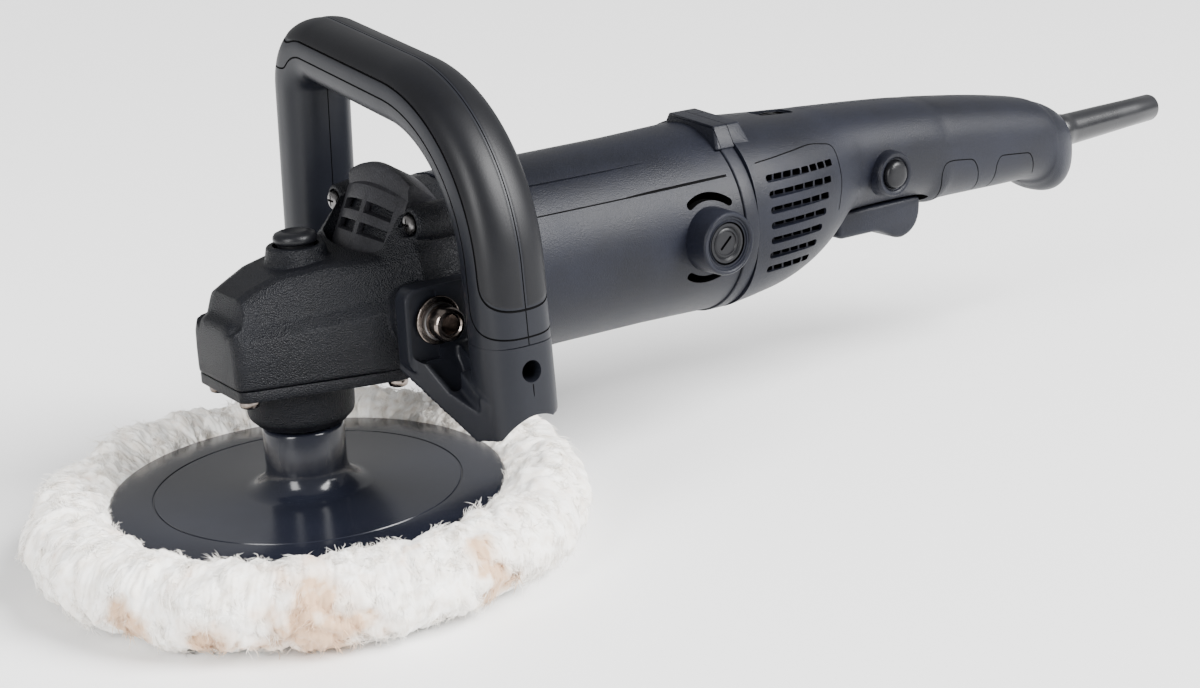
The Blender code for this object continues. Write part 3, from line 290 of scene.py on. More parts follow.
def around(axis, radius, angle, height, at):
    a, b = radius * math.cos(angle), radius * math.sin(angle)
    local = {"X": (height, a, b), "Y": (b, height, a), "Z": (a, b, height)}[axis]
    return Vector(local) + Vector(at)


def turned(name, profile, axis="Z", at=(0, 0, 0), steps=96, sharp_deg=38.0):
    """A body of revolution from a closed outline of (radius, height) points."""
    points, index = [], []
    for radius, height in profile:
        row = []
        for i in range(steps if radius > 1e-6 else 1):
            row.append(len(points))
            points.append(around(axis, radius, 2 * math.pi * i / steps, height, at))
        index.append(row)
    faces = []
    for k in range(len(profile)):
        low, high = index[k], index[(k + 1) % len(profile)]
        if len(low) == 1 and len(high) == 1:
            continue
        for i in range(steps):
            j = (i + 1) % steps
            corner = [low[i % len(low)], low[j % len(low)], high[j % len(high)],
                      high[i % len(high)]]
            faces.append(tuple(dict.fromkeys(corner)))
    return made(name, points, faces, sharp_deg)


def prism(name, outline, low, high, axis="Z", sharp_deg=38.0):
    order = {"X": lambda a, b, h: (h, a, b), "Y": lambda a, b, h: (a, h, b),
             "Z": lambda a, b, h: (a, b, h)}[axis]
    return lofted(name, [[Vector(order(a, b, h)) for a, b in outline] for h in (low, high)],
                  sharp_deg)


def rounded(x0, y0, x1, y1, radius, per_corner=5):
    centres = [(x1 - radius, y0 + radius, -90), (x1 - radius, y1 - radius, 0),
               (x0 + radius, y1 - radius, 90), (x0 + radius, y0 + radius, 180)]
    outline = []
    for cx, cy, start in centres:
        for i in range(per_corner + 1):
            angle = math.radians(start + 90 * i / per_corner)
            outline.append((cx + radius * math.cos(angle), cy + radius * math.sin(angle)))
    return outline


def settled(obj):
    """Applies the object's modifiers to its mesh."""
    bpy.context.view_layer.update()
    graph = bpy.context.evaluated_depsgraph_get()
    mesh = bpy.data.meshes.new_from_object(obj.evaluated_get(graph))
    old = obj.data
    obj.modifiers.clear()
    obj.data = mesh
    bpy.data.meshes.remove(old)
    mesh.name = obj.name
    return obj


def combine(obj, other, operation):
    modifier = obj.modifiers.new("shape", "BOOLEAN")
    modifier.object = other
    modifier.operation = operation
    modifier.solver = "EXACT"
    settled(obj)
    bpy.data.objects.remove(other)
    obj.data.shade_smooth()
    obj.data.set_sharp_from_angle(angle=CREASE)
    return obj


def cut(obj, other):
    return combine(obj, other, "DIFFERENCE")


def join(obj, other):
    return combine(obj, other, "UNION")


def keep(obj, other):
    return combine(obj, other, "INTERSECT")


def edged(obj, width, segments=2, angle_deg=38.0):
    """Rounds the sharp edges."""
    bevel = obj.modifiers.new("edge", "BEVEL")
    bevel.width = width
    bevel.segments = segments
    bevel.limit_method = "ANGLE"
    bevel.angle_limit = math.radians(angle_deg)
    bevel.harden_normals = False
    settled(obj)
    obj.data.shade_smooth()
    obj.data.set_sharp_from_angle(angle=math.radians(60))
    return obj


def moulded(obj, voxel, passes, factor=0.5):
    """Remeshes the solid and lets its edges run into fillets, as on a casting."""
    remesh = obj.modifiers.new("remesh", "REMESH")
    remesh.mode = "VOXEL"
    remesh.voxel_size = voxel
    smooth = obj.modifiers.new("smooth", "SMOOTH")
    smooth.factor = factor
    smooth.iterations = passes
    settled(obj)
    obj.data.shade_smooth()
    return obj


def together(name, objects):
    """One object that holds the meshes of all, still overlapping."""
    work = bmesh.new()
    for obj in objects:
        work.from_mesh(obj.data)
        bpy.data.objects.remove(obj)
    mesh = bpy.data.meshes.new(name)
    work.to_mesh(mesh)
    work.free()
    obj = bpy.data.objects.new(name, mesh)
    bpy.context.scene.collection.objects.link(obj)
    return obj


def hull_of(name, points):
    mesh = bpy.data.meshes.new(name)
    work = bmesh.new()
    for p in points:
        work.verts.new(p)
    result = bmesh.ops.convex_hull(work, input=work.verts)
    spare = [g for g in result["geom_interior"] if isinstance(g, bmesh.types.BMVert)]
    bmesh.ops.delete(work, geom=spare, context="VERTS")
    bmesh.ops.recalc_face_normals(work, faces=work.faces)
    work.to_mesh(mesh)
    work.free()
    obj = bpy.data.objects.new(name, mesh)
    bpy.context.scene.collection.objects.link(obj)
    return obj


def inlay(name, points, radius=0.00035, closed=False):
    """A thin bead along a path on a surface; cut away by grooved, it leaves a moulded groove whose
    dark bottom is painted shade.
    """
    curve = bpy.data.curves.new(name, "CURVE")
    curve.dimensions = "3D"
    curve.bevel_depth = radius
    curve.bevel_resolution = 2
    curve.use_fill_caps = True
    spline = curve.splines.new("POLY")
    spline.use_cyclic_u = closed
    spline.points.add(len(points) - 1)
    for slot, point in zip(spline.points, points):
        slot.co = (*point, 1.0)
    source = bpy.data.objects.new(name, curve)
    bpy.context.scene.collection.objects.link(source)
    bpy.context.view_layer.update()
    graph = bpy.context.evaluated_depsgraph_get()
    mesh = bpy.data.meshes.new_from_object(source.evaluated_get(graph))
    bpy.data.objects.remove(source)
    obj = bpy.data.objects.new(name, mesh)
    bpy.context.scene.collection.objects.link(obj)
    mesh.shade_smooth()
    return obj


def piece(obj, body, slot, *nodes, look=None):
    obj.data.materials.clear()
    obj.data.materials.append(FINISH[look or slot])
    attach(obj, body)
    if nodes:
        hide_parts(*nodes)
    return obj


def smooth_rows(rows, count):
    """Rows of numbers, interpolated smoothly to that many rows."""
    table = np.array(rows, float)
    ends = np.vstack([2 * table[0] - table[1], table, 2 * table[-1] - table[-2]])
    out = []
    for at in np.linspace(0, len(table) - 1, count):
        k = min(int(at), len(table) - 2)
        t = at - k
        a, b, c, d = ends[k:k + 4]
        out.append(0.5 * (2 * b + (c - a) * t + (2 * a - 5 * b + 4 * c - d) * t ** 2
                          + (3 * b - a - 3 * c + d) * t ** 3))
    return out


def superellipse(a, b, power, count, start=0.0, end=360.0, closed=True):
    points = []
    for i in range(count if closed else count + 1):
        angle = math.radians(start + (end - start) * i / count)
        c, s = math.cos(angle), math.sin(angle)
        points.append((math.copysign(abs(c) ** (2 / power), c) * a,
                       math.copysign(abs(s) ** (2 / power), s) * b))
    return points


def turned_on(side, name, profile, at, steps):
    """A piece turned about Y whose profile is written for the far side. Side -1 mirrors it."""
    return turned(name, [(r, side * h) for r, h in profile], "Y", at, steps)


def hexagon(radius, turn_deg=0):
    angles = [math.radians(60 * i + turn_deg) for i in range(6)]
    return [(radius * math.cos(angle), radius * math.sin(angle)) for angle in angles]


def carved(obj, cutter):
    """Cuts, and gives the cut faces the cutter's own material."""
    modifier = obj.modifiers.new("cut", "BOOLEAN")
    modifier.object = cutter
    modifier.solver = "EXACT"
    modifier.material_mode = "TRANSFER"
    settled(obj)
    bpy.data.objects.remove(cutter)
    obj.data.shade_smooth()
    obj.data.set_sharp_from_angle(angle=CREASE)
    return obj


def grooved(obj, paths, radius, closed=False, look="line"):
    """Cuts thin round grooves along paths on the surface, with a dark bottom of painted shade."""
    tubes = [inlay("groove", path, radius, closed) for path in paths]
    cutter = together("grooves", tubes)
    # the cutter's near-black finish passes to the groove walls as painted shade
    cutter.data.materials.append(FINISH[look])
    if not obj.data.materials:
        obj.data.materials.append(None)
    return carved(obj, cutter)


def block(name, low, high):
    outline = [(low[0], low[1]), (high[0], low[1]), (high[0], high[1]), (low[0], high[1])]
    return prism(name, outline, low[2], high[2])


def cylinder(name, radius, low, high, axis="Z", at=(0, 0, 0), steps=48):
    return turned(name, [(0, low), (radius, low), (radius, high), (0, high)], axis, at, steps)


# --- wool bonnet ---------------------------------------------------------------------------------

RANDOM = np.random.default_rng(7)
BONNET = [(0.06, 0.001), (0.08, 0.0006), (0.0905, 0.0022), (0.0985, 0.006), (0.1028, 0.0115),
          (0.104, 0.018), (0.1022, 0.0245), (0.0975, 0.0295), (0.091, 0.0316), (0.085, 0.0308),
          (0.08, 0.0288), (0.0765, 0.0266), (0.0742, 0.025), (0.07, 0.0215)]
WOOL_R = 0.092             # middle radius, at which the clumps are sized


def cells_at(places):
    """Distance to the middle of the nearest clump, distance to its edge, and that middle."""
    near, edge, middle = np.empty(len(places)), np.empty(len(places)), np.empty((len(places), 3))
    for i, p in enumerate(places):
        far, at = noise.voronoi(Vector(p))[:2]
        near[i], edge[i], middle[i] = far[0], far[1] - far[0], at[0]
    return near, edge, middle


def fractals(places, octaves=3):
    return np.array([noise.fractal(Vector(p), 0.9, 2.1, octaves) for p in places])


def wool_grid(turns, spans):
    """The wool roll without its clumps: points, normals, and each point's place for noise, which
    is in metres round the roll and across it."""
    profile = np.array(smooth_rows(BONNET, spans))
    across = np.concatenate([[0], np.cumsum(np.linalg.norm(np.diff(profile, axis=0), axis=1))])
    slope = np.gradient(profile, axis=0)
    normal = np.stack([slope[:, 1], -slope[:, 0]], axis=1)
    normal /= np.linalg.norm(normal, axis=1)[:, None]
    turn = np.linspace(0, 2 * math.pi, turns, endpoint=False)
    ring = np.stack([np.cos(turn), np.sin(turn)], axis=1)[:, None, :]
    shape = (turns, spans, 1)
    points = np.concatenate([profile[None, :, :1] * ring,
                             np.broadcast_to(profile[None, :, 1:], shape)], 2)
    normals = np.concatenate([normal[None, :, :1] * ring,
                              np.broadcast_to(normal[None, :, 1:], shape)], 2)
    places = np.concatenate([np.broadcast_to(WOOL_R * ring, (turns, spans, 2)),
                             np.broadcast_to(across[None, :, None], shape)], 2)
    return points, normals, places


CLUMP = np.array([0.0135, 0.0135, 0.014])
WISP = np.array([0.0052, 0.0052, 0.0075])


def wool_base():
    turns, spans = 1340, 68
    points, normals, places = wool_grid(turns, spans)
    flat, out, place = (grid.reshape(-1, 3) for grid in (points, normals, places))
    bend = 0.009 * np.stack([fractals(place / 0.015 + k * 7.0, 2) for k in range(3)], axis=1)
    near, edge, _ = cells_at((place + bend) / CLUMP)
    small, small_edge, _ = cells_at((place + bend) / WISP + 4.0)
    relief = 0.0032 * (0.55 - near) + 0.0008 * np.minimum(1, 3 * edge) + 0.0014 * (0.5 - small)
    relief += 0.002 * fractals(place / 0.035 + 3.0, 2)
    relief += 0.00042 * fractals(place / np.array([0.0011, 0.0011, 0.007]), 2)
    index = np.arange(spans)
    free = np.clip((index - 3) / 6.0, 0, 1) * np.clip((spans - 3 - index) / 7.0, 0.0, 1.0)
    moved = flat + out * (relief.reshape(turns, spans) * free).reshape(-1, 1)
    moved[:, 2] = np.maximum(moved[:, 2], 0.0002)
    faces = []
    for a in range(turns):
        b = (a + 1) % turns
        for k in range(spans - 1):
            faces.append((a * spans + k, b * spans + k, b * spans + k + 1, a * spans + k + 1))
    low = len(moved)
    for a in range(turns):
        b = (a + 1) % turns
        faces.append((low, b * spans, a * spans))
        faces.append((low + 1, a * spans + spans - 1, b * spans + spans - 1))
    base = made("wool_skirt", [*moved, (0, 0, 0.001), (0, 0, 0.018)], faces, 180)
    return base, moved.reshape(turns, spans, 3), normals, places


def locks(name, roots, ways, curls, lengths, widths, bends=4):
    """Many tapered wavy locks of wool in one mesh. Each is a three-sided spike."""
    count = len(roots)
    side = np.cross(ways, curls)
    side /= np.linalg.norm(side, axis=1)[:, None] + 1e-9
    up = np.cross(side, ways)
    phase = RANDOM.uniform(0, 2 * math.pi, count)
    rings = []

    def middle(t):
        wave = 0.07 * np.sin(phase + 6.0 * t) * lengths
        return (roots + ways * (lengths * t)[:, None] + side * wave[:, None]
                + curls * (0.3 * t * t * lengths)[:, None])

    for k in range(bends):
        t = k / bends
        width = widths * (1.0 - 0.65 * t)
        for j in range(3):
            angle = 2 * math.pi * j / 3
            rings.append(middle(t) + (side * math.cos(angle)
                                      + up * 0.55 * math.sin(angle)) * width[:, None])
    points = np.stack([*rings, middle(1.0)], axis=1)
    points[:, :, 2] = np.maximum(points[:, :, 2], 0.0002)
    size = 3 * bends + 1
    quads = np.array([(3 * k + j, 3 * k + (j + 1) % 3, 3 * k + 3 + (j + 1) % 3, 3 * k + 3 + j)
                      for k in range(bends - 1) for j in range(3)])
    last = 3 * (bends - 1)
    tris = np.array([(last + j, last + (j + 1) % 3, size - 1) for j in range(3)] + [(2, 1, 0)])
    start = np.arange(count)[:, None, None] * size
    faces = ((quads[None] + start).reshape(-1, 4).tolist()
             + (tris[None] + start).reshape(-1, 3).tolist())
    mesh = bpy.data.meshes.new(name)
    mesh.from_pydata(points.reshape(-1, 3).tolist(), [], faces)
    mesh.shade_smooth()
    obj = bpy.data.objects.new(name, mesh)
    bpy.context.scene.collection.objects.link(obj)
    return obj


def wool_locks(surface, normals, places):
    """Five layers of locks: three over the roll, one of long wisps, and a fringe at the plate."""
    turns, spans = surface.shape[:2]
    across = np.gradient(surface, axis=1)
    across /= np.linalg.norm(across, axis=2)[:, :, None]
    made_pieces = []
    for number, (first, last, length, width, lift) in enumerate((
            (9, spans - 7, 0.0062, 0.00021, 0.24), (9, spans - 7, 0.0052, 0.00017, 0.4),
            (9, spans - 7, 0.0056, 0.00019, 0.3), (9, spans - 18, 0.0085, 0.00022, 0.2),
            (spans - 20, spans - 3, 0.0034, 0.00011, 0.4)), 1):
        count = 8800
        a, b = RANDOM.integers(0, turns, count), RANDOM.integers(first, last, count)
        step = RANDOM.uniform(0, 1, (count, 1))
        roots = surface[a, b] * (1 - step) + surface[a, b + 1] * step
        out, place = normals[a, b], places[a, b]
        outward = -across[a, b]
        if number == 5:
            outward = -outward
        _, _, middle = cells_at(place / CLUMP)
        toward = (middle * CLUMP - place) / 0.01
        turn = np.arctan2(roots[:, 1], roots[:, 0])
        round_way = np.stack([-np.sin(turn), np.cos(turn), np.zeros(count)], axis=1)
        pull = round_way * np.sum(toward * round_way,
                                  axis=1)[:, None] - outward * toward[:, 2:] * 0.6
        drift = np.stack([fractals(place / 0.011 + number * 5.0 + k * 9.0, 2) for k in range(2)],
                         axis=1)
        ways = out * lift + outward * (0.75 + 0.6 * drift[:, :1]) + round_way * (1.1 * drift[:, 1:])
        ways += 1.3 * pull + RANDOM.normal(0, 0.09, (count, 3))
        ways /= np.linalg.norm(ways, axis=1)[:, None]
        curls = -out * 0.8 + round_way * RANDOM.normal(0, 0.5, (count, 1)) + np.array([0, 0, -0.25])
        curls /= np.linalg.norm(curls, axis=1)[:, None]
        made_pieces.append(locks(f"wool_locks_{number}", roots - out * 0.0008, ways, curls,
                                 length * RANDOM.uniform(0.5, 1.3, count),
                                 width * RANDOM.uniform(0.6, 1.35, count)))
    return made_pieces


# where the wool has yellowed, and how far round
TAN_SPOTS = [((-0.046, -0.09, 0.012), 0.024), ((0.0185, -0.102, 0.013), 0.011),
             ((0.014, -0.1, 0.025), 0.008), ((-0.092, -0.045, 0.014), 0.01),
             ((-0.076, -0.069, 0.011), 0.011)]


def wool_finish():
    """Cream wool that turns darker where its fine bump is low, painted shade in the creases along
    with a random change of tone, and a few tan patches where it has yellowed.
    """
    paint = bpy.data.materials.new("pile")
    paint.use_nodes = True
    tree = paint.node_tree
    shader = tree.nodes["Principled BSDF"]
    shader.inputs["Roughness"].default_value = 0.85
    shader.inputs["Sheen Weight"].default_value = 0.35
    place = tree.nodes.new("ShaderNodeTexCoord")

    def cloud(size, detail):
        node = tree.nodes.new("ShaderNodeTexNoise")
        node.inputs["Scale"].default_value = 1.0 / size
        node.inputs["Detail"].default_value = detail
        tree.links.new(place.outputs["Object"], node.inputs["Vector"])
        return node

    # this noise both darkens the colour and lowers the bump, so the hollows carry painted shade
    fine = cloud(0.0045, 4.0)
    cream_and_hollow_shade = tree.nodes.new("ShaderNodeValToRGB")
    cream_and_hollow_shade.color_ramp.elements[0].position, cream_and_hollow_shade.color_ramp.elements[1].position = 0.3, 0.62
    cream_and_hollow_shade.color_ramp.elements[0].color = (0.76, 0.7, 0.62, 1)
    cream_and_hollow_shade.color_ramp.elements[1].color = (0.93, 0.915, 0.88, 1)
    tree.links.new(fine.outputs["Fac"], cream_and_hollow_shade.inputs["Fac"])
    ragged = cloud(0.009, 3.0)
    total = ragged.outputs["Fac"]
    for spot, reach in TAN_SPOTS:
        away = tree.nodes.new("ShaderNodeVectorMath")
        away.operation = "DISTANCE"
        away.inputs[1].default_value = spot
        tree.links.new(place.outputs["Object"], away.inputs[0])
        fall = tree.nodes.new("ShaderNodeMapRange")
        fall.inputs["From Min"].default_value = 0.2 * reach
        fall.inputs["From Max"].default_value = 1.2 * reach
        fall.inputs["To Min"].default_value, fall.inputs["To Max"].default_value = 0.5, 0.0
        tree.links.new(away.outputs["Value"], fall.inputs["Value"])
        add = tree.nodes.new("ShaderNodeMath")
        tree.links.new(total, add.inputs[0])
        tree.links.new(fall.outputs["Result"], add.inputs[1])
        total = add.outputs["Value"]
    tan = tree.nodes.new("ShaderNodeValToRGB")
    tan.color_ramp.elements[0].position, tan.color_ramp.elements[1].position = 0.6, 0.86
    tan.color_ramp.elements[0].color, tan.color_ramp.elements[1].color = (0, 0, 0, 1), (1, 1, 1, 1)
    tree.links.new(total, tan.inputs["Fac"])
    mixed = tree.nodes.new("ShaderNodeMix")
    mixed.data_type = "RGBA"
    tree.links.new(tan.outputs["Color"], mixed.inputs["Factor"])
    tree.links.new(cream_and_hollow_shade.outputs["Color"], mixed.inputs["A"])
    mixed.inputs["B"].default_value = (0.56, 0.37, 0.23, 1)
    tree.links.new(mixed.outputs["Result"], shader.inputs["Base Color"])
    bump = tree.nodes.new("ShaderNodeBump")
    bump.inputs["Distance"].default_value = 0.0004
    tree.links.new(fine.outputs["Fac"], bump.inputs["Height"])
    tree.links.new(bump.outputs["Normal"], shader.inputs["Normal"])
    return paint


def wool():
    FINISH["pile"] = wool_finish()
    base, *grids = wool_base()
    piece(base, "polishing_head", "lambswool", "wool_bonnet", look="pile")
    for lock in wool_locks(*grids):
        piece(lock, "polishing_head", "lambswool", look="pile")


# --- plate, neck and gearbox ---------------------------------------------------------------------

def plate():
    profile = [(0.0078, RIM_Z - 0.0055), (0.074, RIM_Z - 0.0055), (0.075, RIM_Z - 0.0045),
               (0.075, RIM_Z - 0.0012), (0.0742, RIM_Z - 0.0002), (0.0735, RIM_Z),
               (0.0584, RIM_Z), (0.0582, RIM_Z - 0.0004), (0.0577, RIM_Z - 0.0004), (0.0575, RIM_Z),
               (0.0245, RIM_Z), (0.0222, RIM_Z + 0.0003), (0.02, RIM_Z + 0.0011),
               (0.0182, RIM_Z + 0.0024), (0.0167, RIM_Z + 0.0041), (0.0157, RIM_Z + 0.0062),
               (0.0153, RIM_Z + 0.0086), (0.0153, HUB_TOP - 0.0012), (0.0149, HUB_TOP - 0.0003),
               (0.0141, HUB_TOP), (0.01, HUB_TOP), (0.01, RIM_Z + 0.001), (0.0078, RIM_Z + 0.001)]
    piece(turned("plate_disc", profile, steps=180, sharp_deg=50), "polishing_head", "plate_nylon",
          "backing_plate")


NOSE = [(-0.0322, 0.015, 0.075, 0.0905, 0.0022, 0.0935),
        (-0.0318, 0.0166, 0.0742, 0.0915, 0.0028, 0.0953),
        (-0.0309, 0.0179, 0.0738, 0.0923, 0.0031, 0.0966),
        (-0.0294, 0.0189, 0.0738, 0.0928, 0.0035, 0.0973),
        (-0.0279, 0.0195, 0.0738, 0.093, 0.004, 0.0985),
        (-0.0254, 0.0204, 0.0738, 0.0933, 0.0046, 0.1055),
        (-0.02, 0.0221, 0.0738, 0.0936, 0.0054, 0.1082),
        (-0.011, 0.0248, 0.0738, 0.0942, 0.0058, 0.1118),
        (0.006, 0.0298, 0.0738, 0.0955, 0.0058, 0.114),
        (0.02, 0.0339, 0.0738, 0.0975, 0.0052, 0.1141),
        (0.0258, 0.0354, 0.0738, 0.0985, 0.0045, 0.1146)]


def nose_half(row):
    _, width, bottom, shoulder, inset, top = row
    upper = width - inset
    edge = 0.0012
    crown = min(0.0078, upper * 0.45)
    return [(0.0, bottom), (width * 0.5, bottom), (width - edge, bottom),
            (width - 0.3 * edge, bottom + 0.3 * edge), (width, bottom + edge),
            (width, 0.5 * (bottom + edge + shoulder)), (width - 0.0006, shoulder - 0.0015),
            (upper, shoulder + 0.003), (upper - 0.28 * crown, top - 0.45 * crown),
            (upper - 0.54 * crown, top - 0.15 * crown), (upper - crown, top), (upper * 0.35, top),
            (0.0, top)]


def drum_half(radius):
    angles = [-90, -75, -61, -47, -33, -18, -3, 12, 27, 43, 59, 75, 90]
    return [(radius * math.cos(math.radians(a)), MOTOR_Z + radius * math.sin(math.radians(a)))
            for a in angles]


def half_ring(x, half):
    near = [Vector((x, -y, z)) for y, z in half]
    far = [Vector((x, y, z)) for y, z in reversed(half[1:-1])]
    return near + far


# x, z on the plane y = 0, and how far the point moves back and down per square of y
HOOD_OUTER = [(0.0247, 0.111, 9.8, 2), (0.0364, 0.1353, 6, 8), (0.0384, 0.1359, 3, 8),
              (0.0396, 0.1414, 1, 11), (0.041, 0.143, 0, 11), (0.043, 0.143, 0, 11),
              (0.052, 0.1376, 0, 14)]
HOOD_INNER = [(0.052, 0.1358, 0, 13.5), (0.0404, 0.1358, 6, 13.5), (0.0388, 0.1336, 6, 8),
              (0.027, 0.111, 9.8, 2)]
HOOD_SEAT = [(0.0243, 0.1106, 9.8, 2), (0.0225, 0.115, 9.8, 2), (0.0225, 0.15, 0, 0),
             (0.0523, 0.15, 0, 0), (0.0523, 0.1349, 0, 13.5), (0.04, 0.1349, 6, 13.5),
             (0.0391, 0.1332, 6, 8), (0.0274, 0.1106, 9.8, 2)]
HOOD_HALF = 0.0222
EAR_Y, EAR_Z = 0.0285, 0.1252
FLANGE_SCREWS = [(-0.0262, -0.0125), (-0.0262, 0.0125), (0.0262, -0.0285), (0.0262, 0.0285)]


def bowed(name, profile, low, high, steps):
    """A section of the hood, carried from one y to the other."""
    rings = []
    for y in np.linspace(low, high, steps):
        rings.append([Vector((x + back * y * y, y, z - down * y * y)) for x, z, back,
                      down in profile])
    return lofted(name, rings)


def gearbox():
    rings = [half_ring(row[0], nose_half(row)) for row in NOSE]
    last, drum = nose_half(NOSE[-1]), drum_half(HOUSING_R - 0.0002)
    for x, under, over in ((0.0305, 0.0, 0.45), (0.0355, 0.48, 1.0), (0.042, 0.9, 1.0),
                           (0.048, 1.0, 1.0), (GEARBOX_BACK, 1.0, 1.0)):
        half = []
        for a, b in zip(last, drum):
            share = under + (over - under) * min(1.0, max(0.0, (a[1] - 0.085) / 0.015))
            half.append(((1 - share) * a[0] + share * b[0], (1 - share) * a[1] + share * b[1]))
        rings.append(half_ring(x, half))
    box = lofted("gearbox_casting", rings)
    boss = [(0, 0.105), (0.0134, 0.105), (0.0109, 0.1184), (0.0104, 0.119), (0, 0.119)]
    join(box, turned("boss", boss, at=(LOCK_X, 0, 0)))
    join(box, cylinder("pads", 0.0125, -LUG_Y + 0.0003, LUG_Y - 0.0003, "Y", BOLT_AT))
    for side in (-1, 1):
        ear = [(0, 0.0364), (0.0054, 0.0364), (0.006, 0.0372), (0.007, 0.044), (0.007, 0.058),
               (0, 0.058)]
        join(box, turned("ear", ear, "X", (0, side * EAR_Y, EAR_Z), 48))
    moulded(box, 0.00062, 2)
    box.data.materials.clear()
    box.data.materials.append(FINISH["wrinkle_paint"])
    for side in (-1, 1):
        cut(box, cylinder("ear_pocket", 0.0045, 0.02, 0.0378, "X", (0, side * EAR_Y, EAR_Z)))
    cut(box, bowed("seat", HOOD_SEAT, -HOOD_HALF - 0.0003, HOOD_HALF + 0.0003, 24))
    cut(box, cylinder("button_bore", 0.007, 0.1108, 0.13, at=(LOCK_X, 0, 0)))
    cut(box, cylinder("cap_bore", 0.0086, 0.1149, 0.13, at=(LOCK_X, 0, 0)))
    box.data.set_sharp_from_angle(angle=math.radians(50))
    finish_parts(box, "tool_body", "wrinkle_paint", "gearbox_housing")


def flange():
    half = [(-0.0316, 0.0162), (-0.0308, 0.0174), (-0.0292, 0.0185), (-0.026, 0.0197),
            (0.006, 0.0293), (0.024, 0.034), (0.028, 0.034), (0.0296, 0.0326)]
    outline = softened([(x, -y) for x, y in half] + [(x, y) for x, y in reversed(half)], 0.002, 3,
                       True)
    plate_piece = edged(prism("flange_plate", outline, 0.0695, 0.07375), 0.0004, 2)
    neck = softened([(0.0, HUB_TOP + 0.0013), (0.0165, HUB_TOP + 0.0013), (0.0195, 0.055),
                     (0.02, 0.0566), (0.0206, 0.068), (0.0222, 0.0702), (0.0, 0.0702)], 0.0008, 3)
    join(plate_piece, turned("neck", neck, steps=128))
    bore = [(0.0, 0.04), (0.0104, 0.04), (0.0104, 0.058), (0.0, 0.058)]
    cut(plate_piece, turned("bore", bore, steps=64))
    piece(plate_piece, "tool_body", "wrinkle_paint", "bearing_flange")


def cross_screw(name, at, axis, face, side, head_r, head_t, shank, look, recess="cross"):
    """A screw with a domed head and a driver recess. Side is where the head points on the axis."""
    profile = [(0, face - side * shank), (head_r * 0.42, face - side * shank),
               (head_r * 0.42, face),
               (head_r * 0.93, face), (head_r, face + side * head_t * 0.18),
               (head_r, face + side * head_t * 0.55), (head_r * 0.9, face + side * head_t * 0.82),
               (head_r * 0.62, face + side * head_t * 0.97), (0, face + side * head_t)]
    head = turned(name, profile, axis, at, 48)
    low, high = sorted((face + side * head_t * 0.35, face + side * head_t * 1.5))
    if recess == "cross":
        for a, b in ((head_r * 0.62, head_r * 0.12), (head_r * 0.12, head_r * 0.62)):
            cutter = prism("slot", rounded(-a, -b, a, b, min(a, b) * 0.6, 2), low, high, axis)
            cutter.data.transform(Matrix.Translation(at))
            cut(head, cutter)
    else:
        cutter = prism("socket", hexagon(head_r * 0.52), low, high, axis)
        cutter.data.transform(Matrix.Translation(at))
        cut(head, cutter)
    return head


def gearbox_details():
    hood = bowed("air_hood", HOOD_OUTER + HOOD_INNER, -HOOD_HALF, HOOD_HALF, 40)
    for low, high in ((0.1185, 0.1227), (0.126, 0.1301)):
        outline = []
        for z, out in ((low, -0.004), (high, -0.004), (high, 0.006), (low, 0.006)):
            outline.append((0.0283 + 0.483 * (z - 0.1185) + out, z, 9.8, 2 + 250 * (z - 0.111)))
        for side in (-1, 1):
            cut(hood, bowed("window", outline, side * 0.0014, side * 0.0175, 12))
    edged(hood, 0.0007, 3)
    piece(hood, "tool_body", "glass_nylon", "vent_hood", look="hood_plastic")
    # a near-black block inside the hood, painted shade seen through its windows
    dark = bowed("shade_under_hood",
                 [(0.0285, 0.1113, 9.8, 2), (0.0402, 0.1336, 6, 8), (0.044, 0.131, 6, 8),
                              (0.044, 0.1113, 6, 2)], -0.0212, 0.0212, 20)
    piece(dark, "tool_body", "glass_nylon", look="line")
    for number, side in enumerate((-1, 1), 1):
        screw = cross_screw(f"hood_screw_head_{number}", (0, side * EAR_Y, EAR_Z), "X", 0.0376, -1,
                            0.0036,
                            0.0032, 0.01, "bright_steel")
        piece(screw, "tool_body", "bright_steel", f"hood_screw_{number}", look="dark_steel")
    for number, (x, y) in enumerate(FLANGE_SCREWS, 1):
        screw = cross_screw(f"flange_screw_head_{number}", (x, y, 0), "Z", 0.0694, -1, 0.0038,
                            0.0036,
                            0.01, "bright_steel")
        piece(screw, "tool_body", "bright_steel", f"flange_screw_{number}", look="black_steel")
        ring = turned(f"spring_washer_{number}",
                      softened([(0.002, 0.069), (0.0044, 0.069), (0.0044, 0.0696), (0.002, 0.0696)],
                               0.0002, 2, True), at=(x, y, 0), steps=48)
        piece(ring, "tool_body", "bright_steel", look="dark_steel")
    profile = [(0, 0.1152), (0.0066, 0.1152), (0.0066, 0.1195), (0.0074, 0.1197), (0.008, 0.1203),
               (0.0082, 0.1212), (0.0081, 0.1221), (0.0075, 0.1231), (0.0062, 0.1237),
               (0.0046, 0.1241),
               (0.004, 0.1238), (0, 0.1237)]
    button = turned("lock_button_cap", profile, at=(LOCK_X, 0, 0), steps=96, sharp_deg=60)
    pin = cylinder("lock_pin", 0.0019, 0.094, 0.116, at=(0.01, 0, 0), steps=24)
    piece(button, "lock_button", "soft_rubber", "spindle_lock_button", look="glass_nylon")
    piece(pin, "lock_button", "bright_steel")


# --- D-handle ------------------------------------------------------------------------------------

LEG_Y, LEG_REF, LEG_LEAN = 0.0698, 0.086, 0.068
BAR_Z, BAR_SLOPE = 0.1734, 0.142
NEAR_ROUND, FAR_ROUND = 0.061, 0.017
LEG_BOTTOM = 0.064


